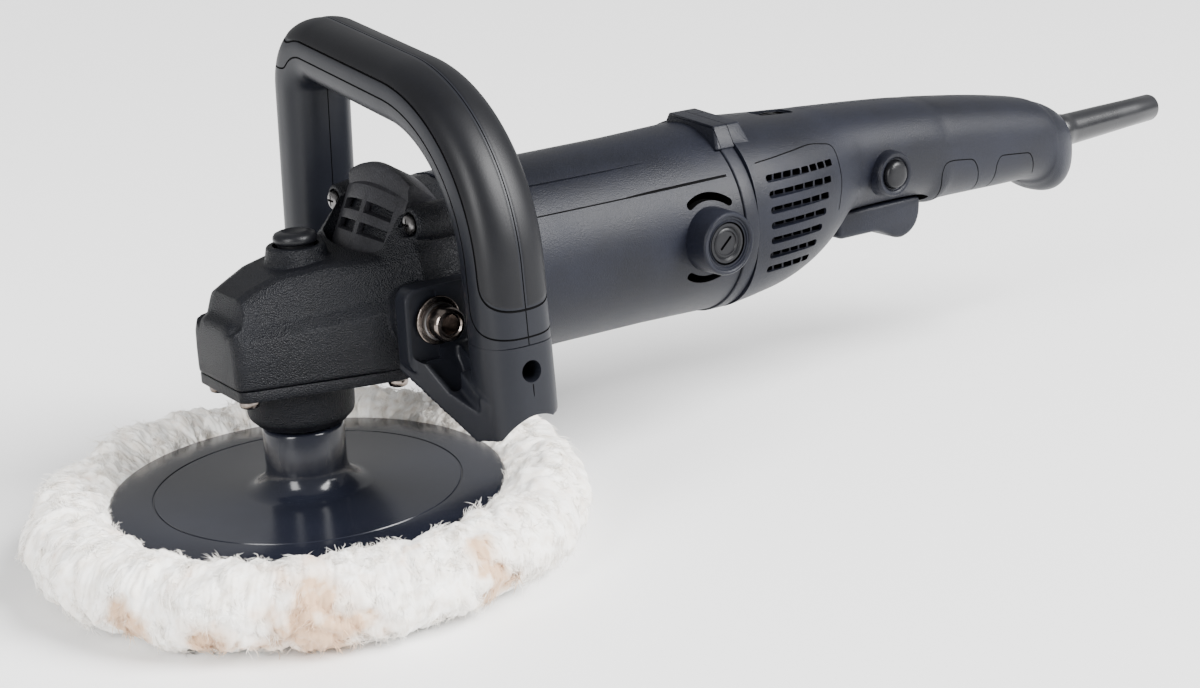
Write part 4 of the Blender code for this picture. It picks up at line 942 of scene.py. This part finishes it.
def fillet(before, corner, after, radius, count):
    a = (before - corner).normalized()
    b = (after - corner).normalized()
    half = math.acos(max(-1, min(1, a.dot(b)))) / 2
    centre = corner + (a + b).normalized() * (radius / math.sin(half))
    start = corner + a * (radius / math.tan(half)) - centre
    end = corner + b * (radius / math.tan(half)) - centre
    first = math.atan2(start.y, start.x)
    sweep = (math.atan2(end.y, end.x) - first + math.pi) % (2 * math.pi) - math.pi
    return [centre + radius * Vector((math.cos(first + sweep * i / (count - 1)),
                                      math.sin(first + sweep * i / (count - 1))))
            for i in range(count)]


class Loop:
    """The grip's middle line in the (y, z) plane, and the outline of its section."""

    def __init__(self):
        corners = []
        for side in (-1, 1):
            y = side * (LEG_Y - LEG_LEAN * (BAR_Z - LEG_REF)) / (1 + side * LEG_LEAN * BAR_SLOPE)
            corners.append(Vector((y, BAR_Z + BAR_SLOPE * y)))
        feet = [Vector((side * (LEG_Y + LEG_LEAN * (LEG_REF - LEG_BOTTOM)),
                        LEG_BOTTOM)) for side in (-1, 1)]
        near = fillet(feet[0], corners[0], corners[1], NEAR_ROUND, 80)
        far = fillet(corners[0], corners[1], feet[1], FAR_ROUND, 60)
        self.path = np.array([feet[0], *near, *far, feet[1]])
        steps = np.linalg.norm(np.diff(self.path, axis=0), axis=1)
        self.length = np.concatenate([[0], np.cumsum(steps)])
        self.total = float(self.length[-1])
        self.far_turn = (float(self.length[81]), float(self.length[140]))
        along = np.diff(self.path, axis=0) / steps[:, None]
        out = np.stack([-along[:, 1], along[:, 0]], axis=1)
        middle = out[:-1] + out[1:]
        self.out = np.vstack([out[0], middle / np.linalg.norm(middle, axis=1)[:, None], out[-1]])
        angle = np.radians(np.linspace(90, 270, 361))
        c, s = np.cos(angle), np.sin(angle)
        self.a = np.sign(c) * np.abs(c) ** (2 / 2.6) * GRIP_A
        self.b = np.sign(s) * np.abs(s) ** (2 / 2.6) * GRIP_B
        self.girth = np.concatenate([[0], np.cumsum(np.hypot(np.diff(self.a), np.diff(self.b)))])
        self.half_girth = float(self.girth[-1])

    def girth_at(self, b):
        """Distance round the section from the outer crest to where the front face has this b."""
        return float(np.interp(-b, -self.b, self.girth))

    def at(self, t, s, grow=0.0):
        """The surface point at t along the loop and s round the section, positive to the front."""
        a = np.interp(abs(s), self.girth, self.a) * (1 if s >= 0 else -1)
        b = np.interp(abs(s), self.girth, self.b)
        if grow:
            scale = 1 + grow / math.hypot(a, b)
            a, b = a * scale, b * scale
        y, z = (np.interp(t, self.length, self.path[:, i]) for i in (0, 1))
        oy, oz = (np.interp(t, self.length, self.out[:, i]) for i in (0, 1))
        return Vector((GRIP_X + a, y + oy * b, z + oz * b))


LOOP = Loop()
GROOVE_IN, GROOVE_OUT = LOOP.girth_at(-0.0015), LOOP.girth_at(0.0048)
PANEL_LOW, BAND_LOW = 0.0364, 0.0265      # lowest points of the two U-shaped ends on the near leg
FOOT_TOP = 0.0242                         # where the foot's moulding meets the grip


def u_end(share, height):
    """How far the end of a groove's U has risen at this share of its half width."""
    return height * (1 - (1 - min(1.0, abs(share)) ** 2.6) ** (1 / 2.6))


def panel_loop(half, low, high, grow=0.0):
    """A closed groove: up the front face, across the far corner, down the rear face and round
    the near leg's outer side."""
    def end(base, height, sign):
        return [LOOP.at(base + sign * u_end(math.sin(w), height), half * math.sin(w), grow)
                for w in np.linspace(-math.pi / 2, math.pi / 2, 41)]
    straight = np.linspace(low + 0.0125, high - 0.0085, 150)[1:-1]
    points = end(low, 0.012, 1)
    points += [LOOP.at(t, half, grow) for t in straight]
    points += end(high, 0.008, -1)[::-1]
    points += [LOOP.at(t, -half, grow) for t in straight[::-1]]
    return points


def slab(name, outer, inner):
    """A closed thin solid between two equal grids of points."""
    rows, cols = len(outer), len(outer[0])
    points = [p for row in outer for p in row] + [p for row in inner for p in row]
    base = rows * cols
    faces = []
    for i in range(rows - 1):
        for j in range(cols - 1):
            a = i * cols + j
            faces.append((a, a + 1, a + cols + 1, a + cols))
            faces.append((base + a, base + a + cols, base + a + cols + 1, base + a + 1))
    rim = [j for j in range(cols)] + [i * cols + cols - 1 for i in range(1, rows)]
    rim += [(rows - 1) * cols + j for j in range(cols - 2, -1,
                                                 -1)] + [i * cols for i in range(rows - 2, 0, -1)]
    for k, a in enumerate(rim):
        b = rim[(k + 1) % len(rim)]
        faces.append((b, a, base + a, base + b))
    return made(name, points, faces, 45)


def grip_skin(name, side):
    """Half of the soft outer panel, on the front or the rear side of the crest's parting line."""
    high = (LOOP.far_turn[0] + LOOP.far_turn[1]) / 2
    half = GROOVE_OUT - 0.0004
    outer, inner = [], []
    rows, cols = 190, 34
    for i in range(rows):
        v = i / (rows - 1)
        out_row, in_row = [], []
        for j in range(cols):
            share = 0.012 + 0.988 * math.sin(math.pi / 2 * j / (cols - 1))
            low = PANEL_LOW + 0.0004 + u_end(share, 0.012)
            top = high - 0.0004 - u_end(share, 0.008)
            t = low + (top - low) * v
            edge = min(i, rows - 1 - i, j, cols - 1 - j)
            grow = (-0.00025, 0.00005)[edge] if edge < 2 else 0.00012
            out_row.append(LOOP.at(t, side * share * half, grow))
            in_row.append(LOOP.at(t, side * share * half, -0.0012))
        outer.append(out_row)
        inner.append(in_row)
    return slab(name, outer, inner)


def foot(name, side):
    """The lug plate, the webbed pocket and the lower leg, as one moulding."""
    inner, outer = LUG_Y, LUG_Y + LUG_T
    low, high = sorted((side * inner, side * outer))
    lug = prism(name, rounded(0.0215, 0.075, 0.06, 0.1065, 0.005, 6), low, high, "Y")
    web = hull_of("web", [Vector((x, side * y, z)) for x, y, z in (
        (0.0215, inner, 0.0752), (0.0215, inner, 0.085), (0.061, inner, 0.075),
        (0.061, inner, 0.086), (0.033, 0.07, 0.053), (0.033, 0.07, 0.064),
        (0.0355, 0.076, 0.0545), (0.0355, 0.076, 0.068), (0.064, 0.07, 0.061),
        (0.064, 0.07, 0.076))])
    ridge = [(0.0464, 0.0832), (0.059, 0.0702), (0.072, 0.064)]
    for (y0, z0), (y1, z1), back in ((ridge[0], ridge[1], 0.038), (ridge[1], ridge[2], 0.0345)):
        cut(web, hull_of("above", [Vector((x, side * y, z)) for x in (0.015, back)
                                   for y, z in ((y0, z0), (y1, z1), (y0, 0.095), (y1, 0.095))]))
    pocket = hull_of("pocket", [Vector((x, side * y, z)) for x, y, z in (
        (0.0262, 0.047, 0.0785), (0.0315, 0.059, 0.066), (0.042, 0.047, 0.0785),
        (0.04, 0.059, 0.065), (0.0262, 0.047, 0.095), (0.0315, 0.059, 0.095),
        (0.042, 0.047, 0.095), (0.04, 0.059, 0.095))])
    cut(web, pocket)
    join(lug, web)
    across = list(np.linspace(-LOOP.half_girth, LOOP.half_girth, 73)[:-1])
    near = 0.0 if side < 0 else LOOP.total
    rings = []
    for step in (1.0, 0.5, 0.0):
        ring = []
        for s in across:
            point = LOOP.at(near, s, 0.00015)
            foot_z = 0.0532 + (point.x - 0.0335) * 0.27
            drop = (LEG_BOTTOM - foot_z) * step
            ring.append(point + Vector((0, side * drop * LEG_LEAN, -drop)))
        rings.append(ring)
    for t in np.linspace(0.006, FOOT_TOP + 0.004, 6):
        rings.append([LOOP.at(t if side < 0 else LOOP.total - t, s, 0.00015) for s in across])
    join(lug, lofted("leg", rings, 60))
    moulded(lug, 0.0006, 3)
    nearer = min(side * 0.048, side * 0.1)
    cut(lug, block("above_foot", (0.015, nearer, LEG_BOTTOM + FOOT_TOP),
                   (0.08, sorted((side * 0.048, side * 0.1))[1], 0.13)))
    low, high = sorted((side * (outer - 0.0008), side * (outer + 0.02)))
    face = prism("face", rounded(0.0232, 0.079, 0.065, 0.1048, 0.004, 6), low, high, "Y")
    keep(face, block("front_part", (0.0, -0.2, 0.0), (0.0345, 0.2, 0.2)))
    cut(lug, face)
    low, high = sorted((side * 0.07, side * 0.09))
    cut(lug, cylinder("foot_hole", 0.004, low, high, "Y", (GRIP_X, 0, 0.079), 40))
    span = sorted((side * 0.066, side * 0.09))
    cut(lug, cylinder("arch", 0.014, *span, "Y", (0.05, 0, 0.049), 64))
    lug.data.shade_smooth()
    lug.data.set_sharp_from_angle(angle=math.radians(50))
    return lug


def d_handle():
    across = list(np.linspace(-LOOP.half_girth, LOOP.half_girth, 121)[:-1])
    along = np.linspace(FOOT_TOP - 0.0005, LOOP.total - FOOT_TOP + 0.0005, 226)
    rings = [[LOOP.at(t, s) for s in across] for t in along]
    shell = lofted("grip_loop", rings, 60)
    middle = (LOOP.far_turn[0] + LOOP.far_turn[1]) / 2
    outline = panel_loop(GROOVE_OUT, PANEL_LOW, middle)
    band = panel_loop(GROOVE_IN, BAND_LOW, middle + 0.0085)
    crest = [LOOP.at(t, 0.0) for t in np.linspace(FOOT_TOP - 0.003, LOOP.total - FOOT_TOP + 0.003,
                                                  240)]
    inside = [LOOP.at(t, LOOP.half_girth)
              for t in np.linspace(FOOT_TOP - 0.003, LOOP.total - FOOT_TOP + 0.003, 240)]
    shell.data.materials.append(FINISH["smooth_charcoal"])
    # each groove's bottom gets the near-black line finish, painted shade in the groove
    grooved(shell, [outline], 0.00042, True)
    grooved(shell, [band], 0.00036, True)
    grooved(shell, [crest, inside], 0.00022)
    finish_parts(shell, "tool_body", "charcoal_plastic", "handle_front_shell", "handle_rear_shell")
    piece(grip_skin("grip_skin_front", 1), "tool_body", "soft_rubber", "handle_grip")
    piece(grip_skin("grip_skin_rear", -1), "tool_body", "soft_rubber")
    for name, side in (("near", -1), ("far", 1)):
        base = foot(f"grip_foot_{name}", side)
        seam = []
        for z in np.linspace(0.0762, 0.0655, 8):
            seam.append(Vector((GRIP_X, side * 0.08335, z - 0.0018)))
        base.data.materials.append(FINISH["smooth_charcoal"])
        grooved(base, [seam], 0.00025)
        finish_parts(base, "tool_body", "charcoal_plastic")


def finish_parts(obj, body, slot, *nodes):
    """Like piece, for a body that already holds its own materials."""
    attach(obj, body)
    if nodes:
        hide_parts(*nodes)
    return obj


def handle_fasteners():
    for name, side in (("near", -1), ("far", 1)):
        face = LUG_Y + LUG_T
        ring = softened([(0.0044, face + 0.0002), (0.009, face + 0.0002), (0.009, face + 0.0019),
                         (0.0044, face + 0.0019)], 0.0004, 3, True)
        washer = turned_on(side, f"plain_washer_{name}", ring, BOLT_AT, 128)
        piece(washer, "tool_body", "bright_steel", f"washer_{name}", look="black_steel")
        spring = softened([(0.0044, face + 0.002), (0.007, face + 0.002), (0.007, face + 0.0036),
                           (0.0044, face + 0.0036)], 0.0003, 2, True)
        lock = turned_on(side, f"spring_ring_{name}", spring, BOLT_AT, 96)
        gap = prism("gap", [(0.003, -0.0004), (0.009, 0.0006), (0.009, 0.0013), (0.003, 0.0003)],
                    *sorted((side * (face + 0.001), side * (face + 0.005))), "Y")
        gap.data.transform(Matrix.Translation(BOLT_AT))
        cut(lock, gap)
        piece(lock, "tool_body", "bright_steel", look="dark_steel")
        tip = face + 0.0022
        profile = [(0, 0.026), (0.0037, 0.026), (0.0037, tip), (0.0058, tip),
                   (0.0064, tip + 0.0006),
                   (0.0064, tip + 0.0066), (0.0062, tip + 0.0074), (0.0056, tip + 0.008),
                   (0.0046, tip + 0.008), (0.0042, tip + 0.0074), (0, tip + 0.0074)]
        head = turned_on(side, f"socket_bolt_{name}", profile, BOLT_AT, 96)
        ends = sorted((side * (tip + 0.0016), side * (tip + 0.02)))
        socket = prism("socket", hexagon(0.004, 12), *ends, "Y")
        socket.data.transform(Matrix.Translation(BOLT_AT))
        cut(head, socket)
        piece(head, "tool_body", "bright_steel", f"handle_bolt_{name}", look="black_steel")


# --- motor ---------------------------------------------------------------------------------------

def seam_block(low, high):
    shape = hull_of("seam_block", [Vector((x, y, z)) for x, y, z in (
        (0.1825, -0.0262, 0.129), (0.1825, 0.013, 0.129), (0.2008, -0.0262, 0.129),
        (0.2008, 0.013, 0.129), (0.185, -0.021, 0.138), (0.185, 0.0085, 0.1402),
        (0.1988, -0.021, 0.138), (0.1988, 0.0085, 0.1402))])
    edged(shape, 0.0009, 3, 20)
    keep(shape, block("span", (low, -0.1, 0.0), (high, 0.1, 0.2)))
    return shape


def kidney(side, lift):
    """A curved vent slot with round ends that follows the brush boss."""
    middle, half = 0.017, 0.0016
    turn = -16 if lift > 0 else -12
    first, last = math.radians(68 + turn), math.radians(136 + turn)
    outline = []
    for i in range(17):
        angle = first + (last - first) * i / 16
        outline.append(((middle + half) * math.cos(angle), (middle + half) * math.sin(angle)))
    for centre, start in ((last, last), (first, first + math.pi)):
        cx, cz = middle * math.cos(centre), middle * math.sin(centre)
        for i in range(1, 8):
            angle = start + math.pi * i / 8
            outline.append((cx + half * math.cos(angle), cz + half * math.sin(angle)))
        if centre == last:
            for i in range(17):
                angle = last - (last - first) * i / 16
                outline.append(((middle - half) * math.cos(angle),
                                (middle - half) * math.sin(angle)))
    outline = [(BRUSH_X + x, MOTOR_Z + lift * z) for x, z in outline]
    cutter = prism("kidney", outline, *sorted((side * 0.022, side * 0.046)), axis="Y")
    # the slot's faces get the near-black line finish, painted shade inside the vent
    cutter.data.materials.append(FINISH["line"])
    return cutter


def cut_dark(obj, cutter):
    """Cuts with a dark bottom of painted shade, in the near-black line finish."""
    if not cutter.data.materials:
        cutter.data.materials.append(FINISH["line"])
    return carved(obj, cutter)


def housing_at(x, angle_deg, side, lift=0.0):
    radius = float(np.interp(x, [0.0623, 0.11, 0.15, 0.185],
                             [HOUSING_R, HOUSING_R, HOUSING_R + 0.0004, SEAM_R])) + lift
    angle = math.radians(angle_deg)
    return Vector((x, side * radius * math.cos(angle), MOTOR_Z + radius * math.sin(angle)))


def motor_housing():
    axis = (0, 0, MOTOR_Z)
    low, high = GEARBOX_BACK + 0.0003, SEAM_X - 0.0003
    profile = [(0.0357, low), (HOUSING_R - 0.0005, low), (HOUSING_R, low + 0.0005),
               (HOUSING_R, 0.11),
               (HOUSING_R + 0.0004, 0.15), (SEAM_R - 0.0004, high - 0.0008),
               (SEAM_R - 0.0004, high),
               (0.0362, high)]
    housing = turned("motor_case", profile, "X", axis, steps=192)
    shape = seam_block(0.17, high)
    join(housing, cut(shape, cylinder("core", 0.0372, 0.16, 0.22, "X", axis, 96)))
    housing.data.materials.clear()
    housing.data.materials.append(FINISH["charcoal_plastic"])
    for side in (-1, 1):
        rings = []
        for x, depth in ((0.056, 0.0014), (0.09, 0.00115), (0.13, 0.0007), (0.166, 0.00005),
                         (0.17, -0.0006)):
            first, last = 35.3, 35.3 + 20.7 * (1 if x < 0.1 else 0.97)
            arc = [housing_at(x, first + (last - first) * i / 12, side, -depth) for i in range(13)]
            arc += [housing_at(x, first + (last - first) * i / 12, side,
                               0.004) for i in range(12, -1, -1)]
            rings.append(arc)
        cut(housing, lofted("channel", rings))
        # the groove, the brush bore and the kidney slots below get near-black faces, painted shade
        # in them
        grooved(housing,
                [[housing_at(x, 35.0, side, -0.0001) for x in np.linspace(0.064, 0.1815, 30)]],
                0.00062)
        boss = [(0, side * 0.037), (0.0132, side * 0.037), (0.0129, side * 0.049),
                (0.0126, side * 0.0498), (0.0121, side * 0.0502), (0.0115, side * 0.0502),
                (0.0109, side * 0.0498), (0.0107, side * 0.0492), (0.01, side * 0.0492),
                (0.0098, side * 0.0486), (0.0092, side * 0.0486), (0.009, side * 0.049),
                (0, side * 0.049)]
        join(housing, turned("boss", boss, "Y", BRUSH_AT, 128))
        bore = [(0, side * 0.03), (0.0088, side * 0.03), (0.0088, side * 0.056), (0, side * 0.056)]
        cut_dark(housing, turned("bore", bore, "Y", BRUSH_AT, 64))
        for lift in (-1, 1):
            cut_dark(housing, kidney(side, lift))
    finish_parts(housing, "tool_body", "charcoal_plastic", "motor_housing")


def brush_caps():
    for name, side in (("near", -1), ("far", 1)):
        profile = [(0, 0.0405), (0.0084, 0.0405), (0.0084, 0.048), (0.008, 0.0487), (0.007, 0.0488),
                   (0.0066, 0.0484), (0.0062, 0.048), (0.0058, 0.0484), (0.005, 0.0485),
                   (0.0047, 0.048), (0, 0.048)]
        cap = turned_on(side, f"brush_plug_{name}", profile, BRUSH_AT, 96)
        slot = prism("slot", rounded(-0.0036, -0.00055, 0.0036, 0.00055, 0.0004, 3),
                     *sorted((side * 0.0462, side * 0.05)), "Y")
        slot.data.transform(Matrix.Translation(BRUSH_AT) @ Matrix.Rotation(PLUG_TURN, 4, "Y"))
        cap.data.materials.append(FINISH["glass_nylon"])
        # the driver slot's faces are near-black, painted shade in the slot
        cut_dark(cap, slot)
        finish_parts(cap, "tool_body", "glass_nylon", f"brush_cap_{name}")


def middle_ring():
    axis = (0, 0, MOTOR_Z)
    low, high, radius = SEAM_X, REAR_X - 0.0003, SEAM_R + 0.0004
    profile = softened([(0.0095, low), (radius, low), (radius, high), (0.0095, high)], 0.0006, 3,
                       True)
    ring = turned("seam_ring", profile, "X", axis, 192)
    shape = seam_block(low, high)
    join(ring, cut(shape, cylinder("core", 0.0372, 0.16, 0.22, "X", axis, 96)))
    for angle in (45, 135, 225, 315):
        turn = math.radians(angle)
        at = (0, 0.024 * math.cos(turn), MOTOR_Z + 0.024 * math.sin(turn))
        cut(ring, cylinder("air_hole", 0.007, SEAM_X - 0.01, REAR_X + 0.01, "X", at, 32))
    piece(ring, "tool_body", "charcoal_plastic", "middle_ring")


# --- rear handle ---------------------------------------------------------------------------------

REAR = [(0.192, 0.04, 0.0572, 0.1372), (0.206, 0.0398, 0.059, 0.1362),
        (0.22, 0.0384, 0.0612, 0.1352), (0.232, 0.0362, 0.0648, 0.1344),
        (0.242, 0.0338, 0.0695, 0.1338), (0.25, 0.0315, 0.0752, 0.1333),
        (0.257, 0.0296, 0.0815, 0.133), (0.264, 0.0284, 0.085, 0.1326),
        (0.283, 0.0274, 0.0855, 0.1315), (0.307, 0.0264, 0.0845, 0.1298),
        (0.317, 0.026, 0.0806, 0.1288), (0.326, 0.0256, 0.0812, 0.128),
        (0.359, 0.0246, 0.0806, 0.124), (0.386, 0.024, 0.08, 0.1196),
        (0.393, 0.0236, 0.0765, 0.1173), (0.3985, 0.0226, 0.0727, 0.1157),
        (0.404, 0.0205, 0.0714, 0.1133), (0.4095, 0.0172, 0.0722, 0.1101),
        (0.414, 0.0135, 0.0745, 0.1062), (0.417, 0.0095, 0.079, 0.1025)]
REAR_POWER = 2.35
SHELL_SCREWS = [(0.248, 0.118), (0.326, 0.104), (0.364, 0.101)]


def rear_at(x, z, side, lift=0.0):
    """The point of the rear handle's side at this x and height."""
    table = np.array(REAR)
    width, bottom, top = (np.interp(x, table[:, 0], table[:, i]) for i in (1, 2, 3))
    share = abs(z - (bottom + top) / 2) / ((top - bottom) / 2)
    y = width * max(0.0, 1 - min(1.0, share) ** REAR_POWER) ** (1 / REAR_POWER)
    return Vector((x, side * (y + lift), z))


def vent_cutters(side, deep):
    """The long shallow slots of the vent panel, or the small deep openings in them."""
    cutters = []
    for number in range(7):
        z = MOTOR_Z + 0.019 - 0.0064 * number
        start, end = 0.199, 0.24 - 0.0024 * number
        low, high = sorted((side * 0.021, side * 0.046))
        if not deep:
            row = prism("row", rounded(start, z - 0.0015, end, z + 0.0015, 0.0014, 4), low, high,
                        "Y")
            middle, wide = (start + end) / 2, np.array(REAR)
            inner = float(np.interp(middle, wide[:, 0],
                                    wide[:, 1])) * (0.975 - 0.012 * max(0, number - 2))
            row.data.transform(Matrix.Translation((0, side * (inner - 0.0225 - 0.0008), 0)))
            cutters.append(row)
            continue
        count = max(5, round((end - start) / 0.0052))
        pitch = (end - start) / count
        for i in range(count):
            a, b = start + pitch * i + 0.00045, start + pitch * (i + 1) - 0.00045
            cutters.append(prism("hole", rounded(a, z - 0.00135, b, z + 0.00135, 0.0005, 2), low,
                                 high, "Y"))
    return together("vents", cutters)


def curve_on_side(points, side, count=8, lift=0.0):
    """A smooth path on the handle's side through (x, z) points."""
    soft = softened(points, 0.0035, 5)
    path = []
    for a, b in zip(soft, soft[1:]):
        for i in range(count):
            path.append(rear_at(a[0] + (b[0] - a[0]) * i / count, a[1] + (b[1] - a[1]) * i / count,
                                side, lift))
    path.append(rear_at(*soft[-1], side, lift))
    kept = [path[0]]
    for p in path[1:]:
        if (p - kept[-1]).length > 0.0003:
            kept.append(p)
    return kept


def rear_handle():
    rows = smooth_rows(REAR, 110)
    rings = []
    for x, width, bottom, top in rows:
        middle, half = (bottom + top) / 2, (top - bottom) / 2
        rings.append([Vector((x, a, middle + b))
                      for a, b in superellipse(width, half, REAR_POWER, 128, 90, 450)])
    body = lofted("rear_case_near", rings, 50)
    shape = seam_block(REAR_X, 0.21)
    join(body, shape)
    for side in (-1, 1):
        profile = [(0, 0.02), (0.0106, 0.02), (0.01, 0.0305), (0.0097, 0.0318), (0.0092, 0.0325),
                   (0.008, 0.0325), (0.0074, 0.0321), (0.0071, 0.0314), (0.0067, 0.0312),
                   (0, 0.0312)]
        join(body, turned_on(side, "collar", profile, BUTTON_AT, 96))
    body.data.materials.clear()
    body.data.materials.append(FINISH["charcoal_plastic"])
    # cut_dark gives these cuts near-black faces, painted shade in the bore, the trigger gap, the
    # dial slot, the vent openings and the screw recesses below
    cut_dark(body, cylinder("bore", 0.0064, -0.04, 0.04, "Y", BUTTON_AT, 64))
    cut_dark(body, block("trigger_gap", (0.2565, -0.0164, 0.06), (0.3135, 0.0164, 0.0946)))
    cut(body, prism("pocket", rounded(DIAL_X - 0.0095, -0.0055, DIAL_X + 0.0095, 0.0055, 0.0022, 5),
                    0.133, 0.14))
    cut_dark(body,
             prism("dial_slot", rounded(DIAL_X - 0.008, -0.004, DIAL_X + 0.008, 0.004, 0.001, 3),
                         0.12, 0.14))
    for side in (-1, 1):
        cut(body, vent_cutters(side, False))
        cut_dark(body, vent_cutters(side, True))
        lines = [
            [(0.1962, 0.1226), (0.231, 0.1246), (0.244, 0.1225), (0.2448, 0.106), (0.2425, 0.095)],
            [(0.3175, 0.0835), (0.3128, 0.0975), (0.314, 0.1024), (0.319, 0.103), (0.333, 0.1014),
             (0.3365, 0.097), (0.3425, 0.084)],
            [(0.3525, 0.0835), (0.3495, 0.096), (0.3515, 0.0998), (0.356, 0.0996), (0.3715, 0.0981),
             (0.374, 0.0955), (0.379, 0.0865)]]
        grooved(body, [curve_on_side(line, side) for line in lines], 0.00028)
    for x, z in SHELL_SCREWS:
        cut_dark(body, cylinder("recess", 0.0032, 0.018, 0.045, "Y", (x, 0, z), 32))
    twin = body.copy()
    twin.data = body.data.copy()
    twin.name = twin.data.name = "rear_case_far"
    bpy.context.scene.collection.objects.link(twin)
    keep(body, block("near", (-0.6, -0.6, -0.6), (0.6, -0.00012, 0.6)))
    keep(twin, block("far", (-0.6, 0.00012, -0.6), (0.6, 0.6, 0.6)))
    finish_parts(body, "tool_body", "charcoal_plastic", "rear_shell_near")
    finish_parts(twin, "tool_body", "charcoal_plastic", "rear_shell_far")


def controls():
    side = [(0.259, 0.087), (0.259, 0.0765), (0.2615, 0.075), (0.283, 0.0748), (0.2885, 0.0728),
            (0.294, 0.0698), (0.2985, 0.069), (0.3035, 0.0704), (0.3075, 0.0738), (0.3095, 0.0785),
            (0.31, 0.087)]
    lever = edged(prism("trigger_lever_piece", softened(side, 0.003, 5, True), -0.0152, 0.0152,
                        "Y"),
                  0.002, 4, 60)
    piece(lever, "trigger_lever", "charcoal_plastic", "trigger")
    profile = [(0, -0.0345), (0.003, -0.03445), (0.0046, -0.0342), (0.0055, -0.0337),
               (0.006, -0.0328),
               (0.006, -0.016), (0, -0.016)]
    button = turned("lock_on_cap", profile, "Y", BUTTON_AT, 96, 60)
    piece(button, "lock_on_pusher", "soft_rubber", "lock_on_button", look="glass_nylon")
    count, outline = 30, []
    for i in range(count):
        for at, r in ((-0.28, DIAL_R - 0.0006), (-0.14, DIAL_R), (0.14, DIAL_R),
                      (0.28, DIAL_R - 0.0006)):
            angle = 2 * math.pi * (i + at) / count
            outline.append((DIAL_X + r * math.cos(angle), DIAL_Z + r * math.sin(angle)))
    wheel = prism("speed_wheel_piece", outline, -0.0034, 0.0034, "Y", 20)
    piece(wheel, "speed_wheel", "soft_rubber", "speed_dial", look="glass_nylon")
    for number, (x, z) in enumerate(SHELL_SCREWS, 1):
        screw = cross_screw(f"shell_screw_head_{number}", (x, 0, z), "Y", 0.0186, 1, 0.0029, 0.0022,
                            0.03, "bright_steel")
        piece(screw, "tool_body", "bright_steel", f"shell_screw_{number}", look="dark_steel")


def sleeve():
    """The rubber sleeve at the tail, with the short rolled collar where it leaves the shells."""
    inner = 0.0042
    profile = [(inner, 0.398), (0.0058, 0.398), (0.0058, 0.4112), (0.0078, 0.412), (0.0083, 0.418),
               (0.0083, 0.4215), (0.0079, 0.4225), (0.0078, 0.426), (0.0074, 0.448), (0.0069, 0.47),
               (0.0067, SLEEVE_END - 0.0012), (0.0064, SLEEVE_END - 0.0003), (0.0059, SLEEVE_END),
               (0.0047, SLEEVE_END), (inner, SLEEVE_END - 0.0005), (inner, SLEEVE_START)]
    tube = turned("cord_sleeve", profile, "X", (0, 0, CORD_Z), 96, 60)
    for vertex in tube.data.vertices:
        vertex.co.z += SLEEVE_RISE * max(0.0, vertex.co.x - SLEEVE_START)
    piece(tube, "tool_body", "soft_rubber", "strain_relief", look="sleeve_rubber")


# --- the nodes that stay -------------------------------------------------------------------------

def dress_nodes():
    """Gives every CAD node that still shows the detailed finish of its own slot."""
    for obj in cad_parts.values():
        if obj.hide_render:
            continue
        for place in obj.material_slots:
            wanted = place.material.name.split(".")[0] if place.material else "dark_steel"
            place.material = FINISH.get(wanted, FINISH["dark_steel"])


FINISH["hood_plastic"] = finish("hood_plastic", (0.0105, 0.0105, 0.0128), 0.5, grain=0.0008,
                                depth=0.00022,
                                tint=(0.6, 1.6), gloss=0.22)
FINISH["sleeve_rubber"] = finish("sleeve_rubber", (0.0034, 0.0037, 0.0052), 0.28, grain=0.0015,
                                 depth=0.00002,
                                 tint=(0.9, 1.15))

add_camera()
add_studio()
wool()
plate()
gearbox()
flange()
gearbox_details()
d_handle()
handle_fasteners()
motor_housing()
brush_caps()
middle_ring()
rear_handle()
controls()
sleeve()
dress_nodes()
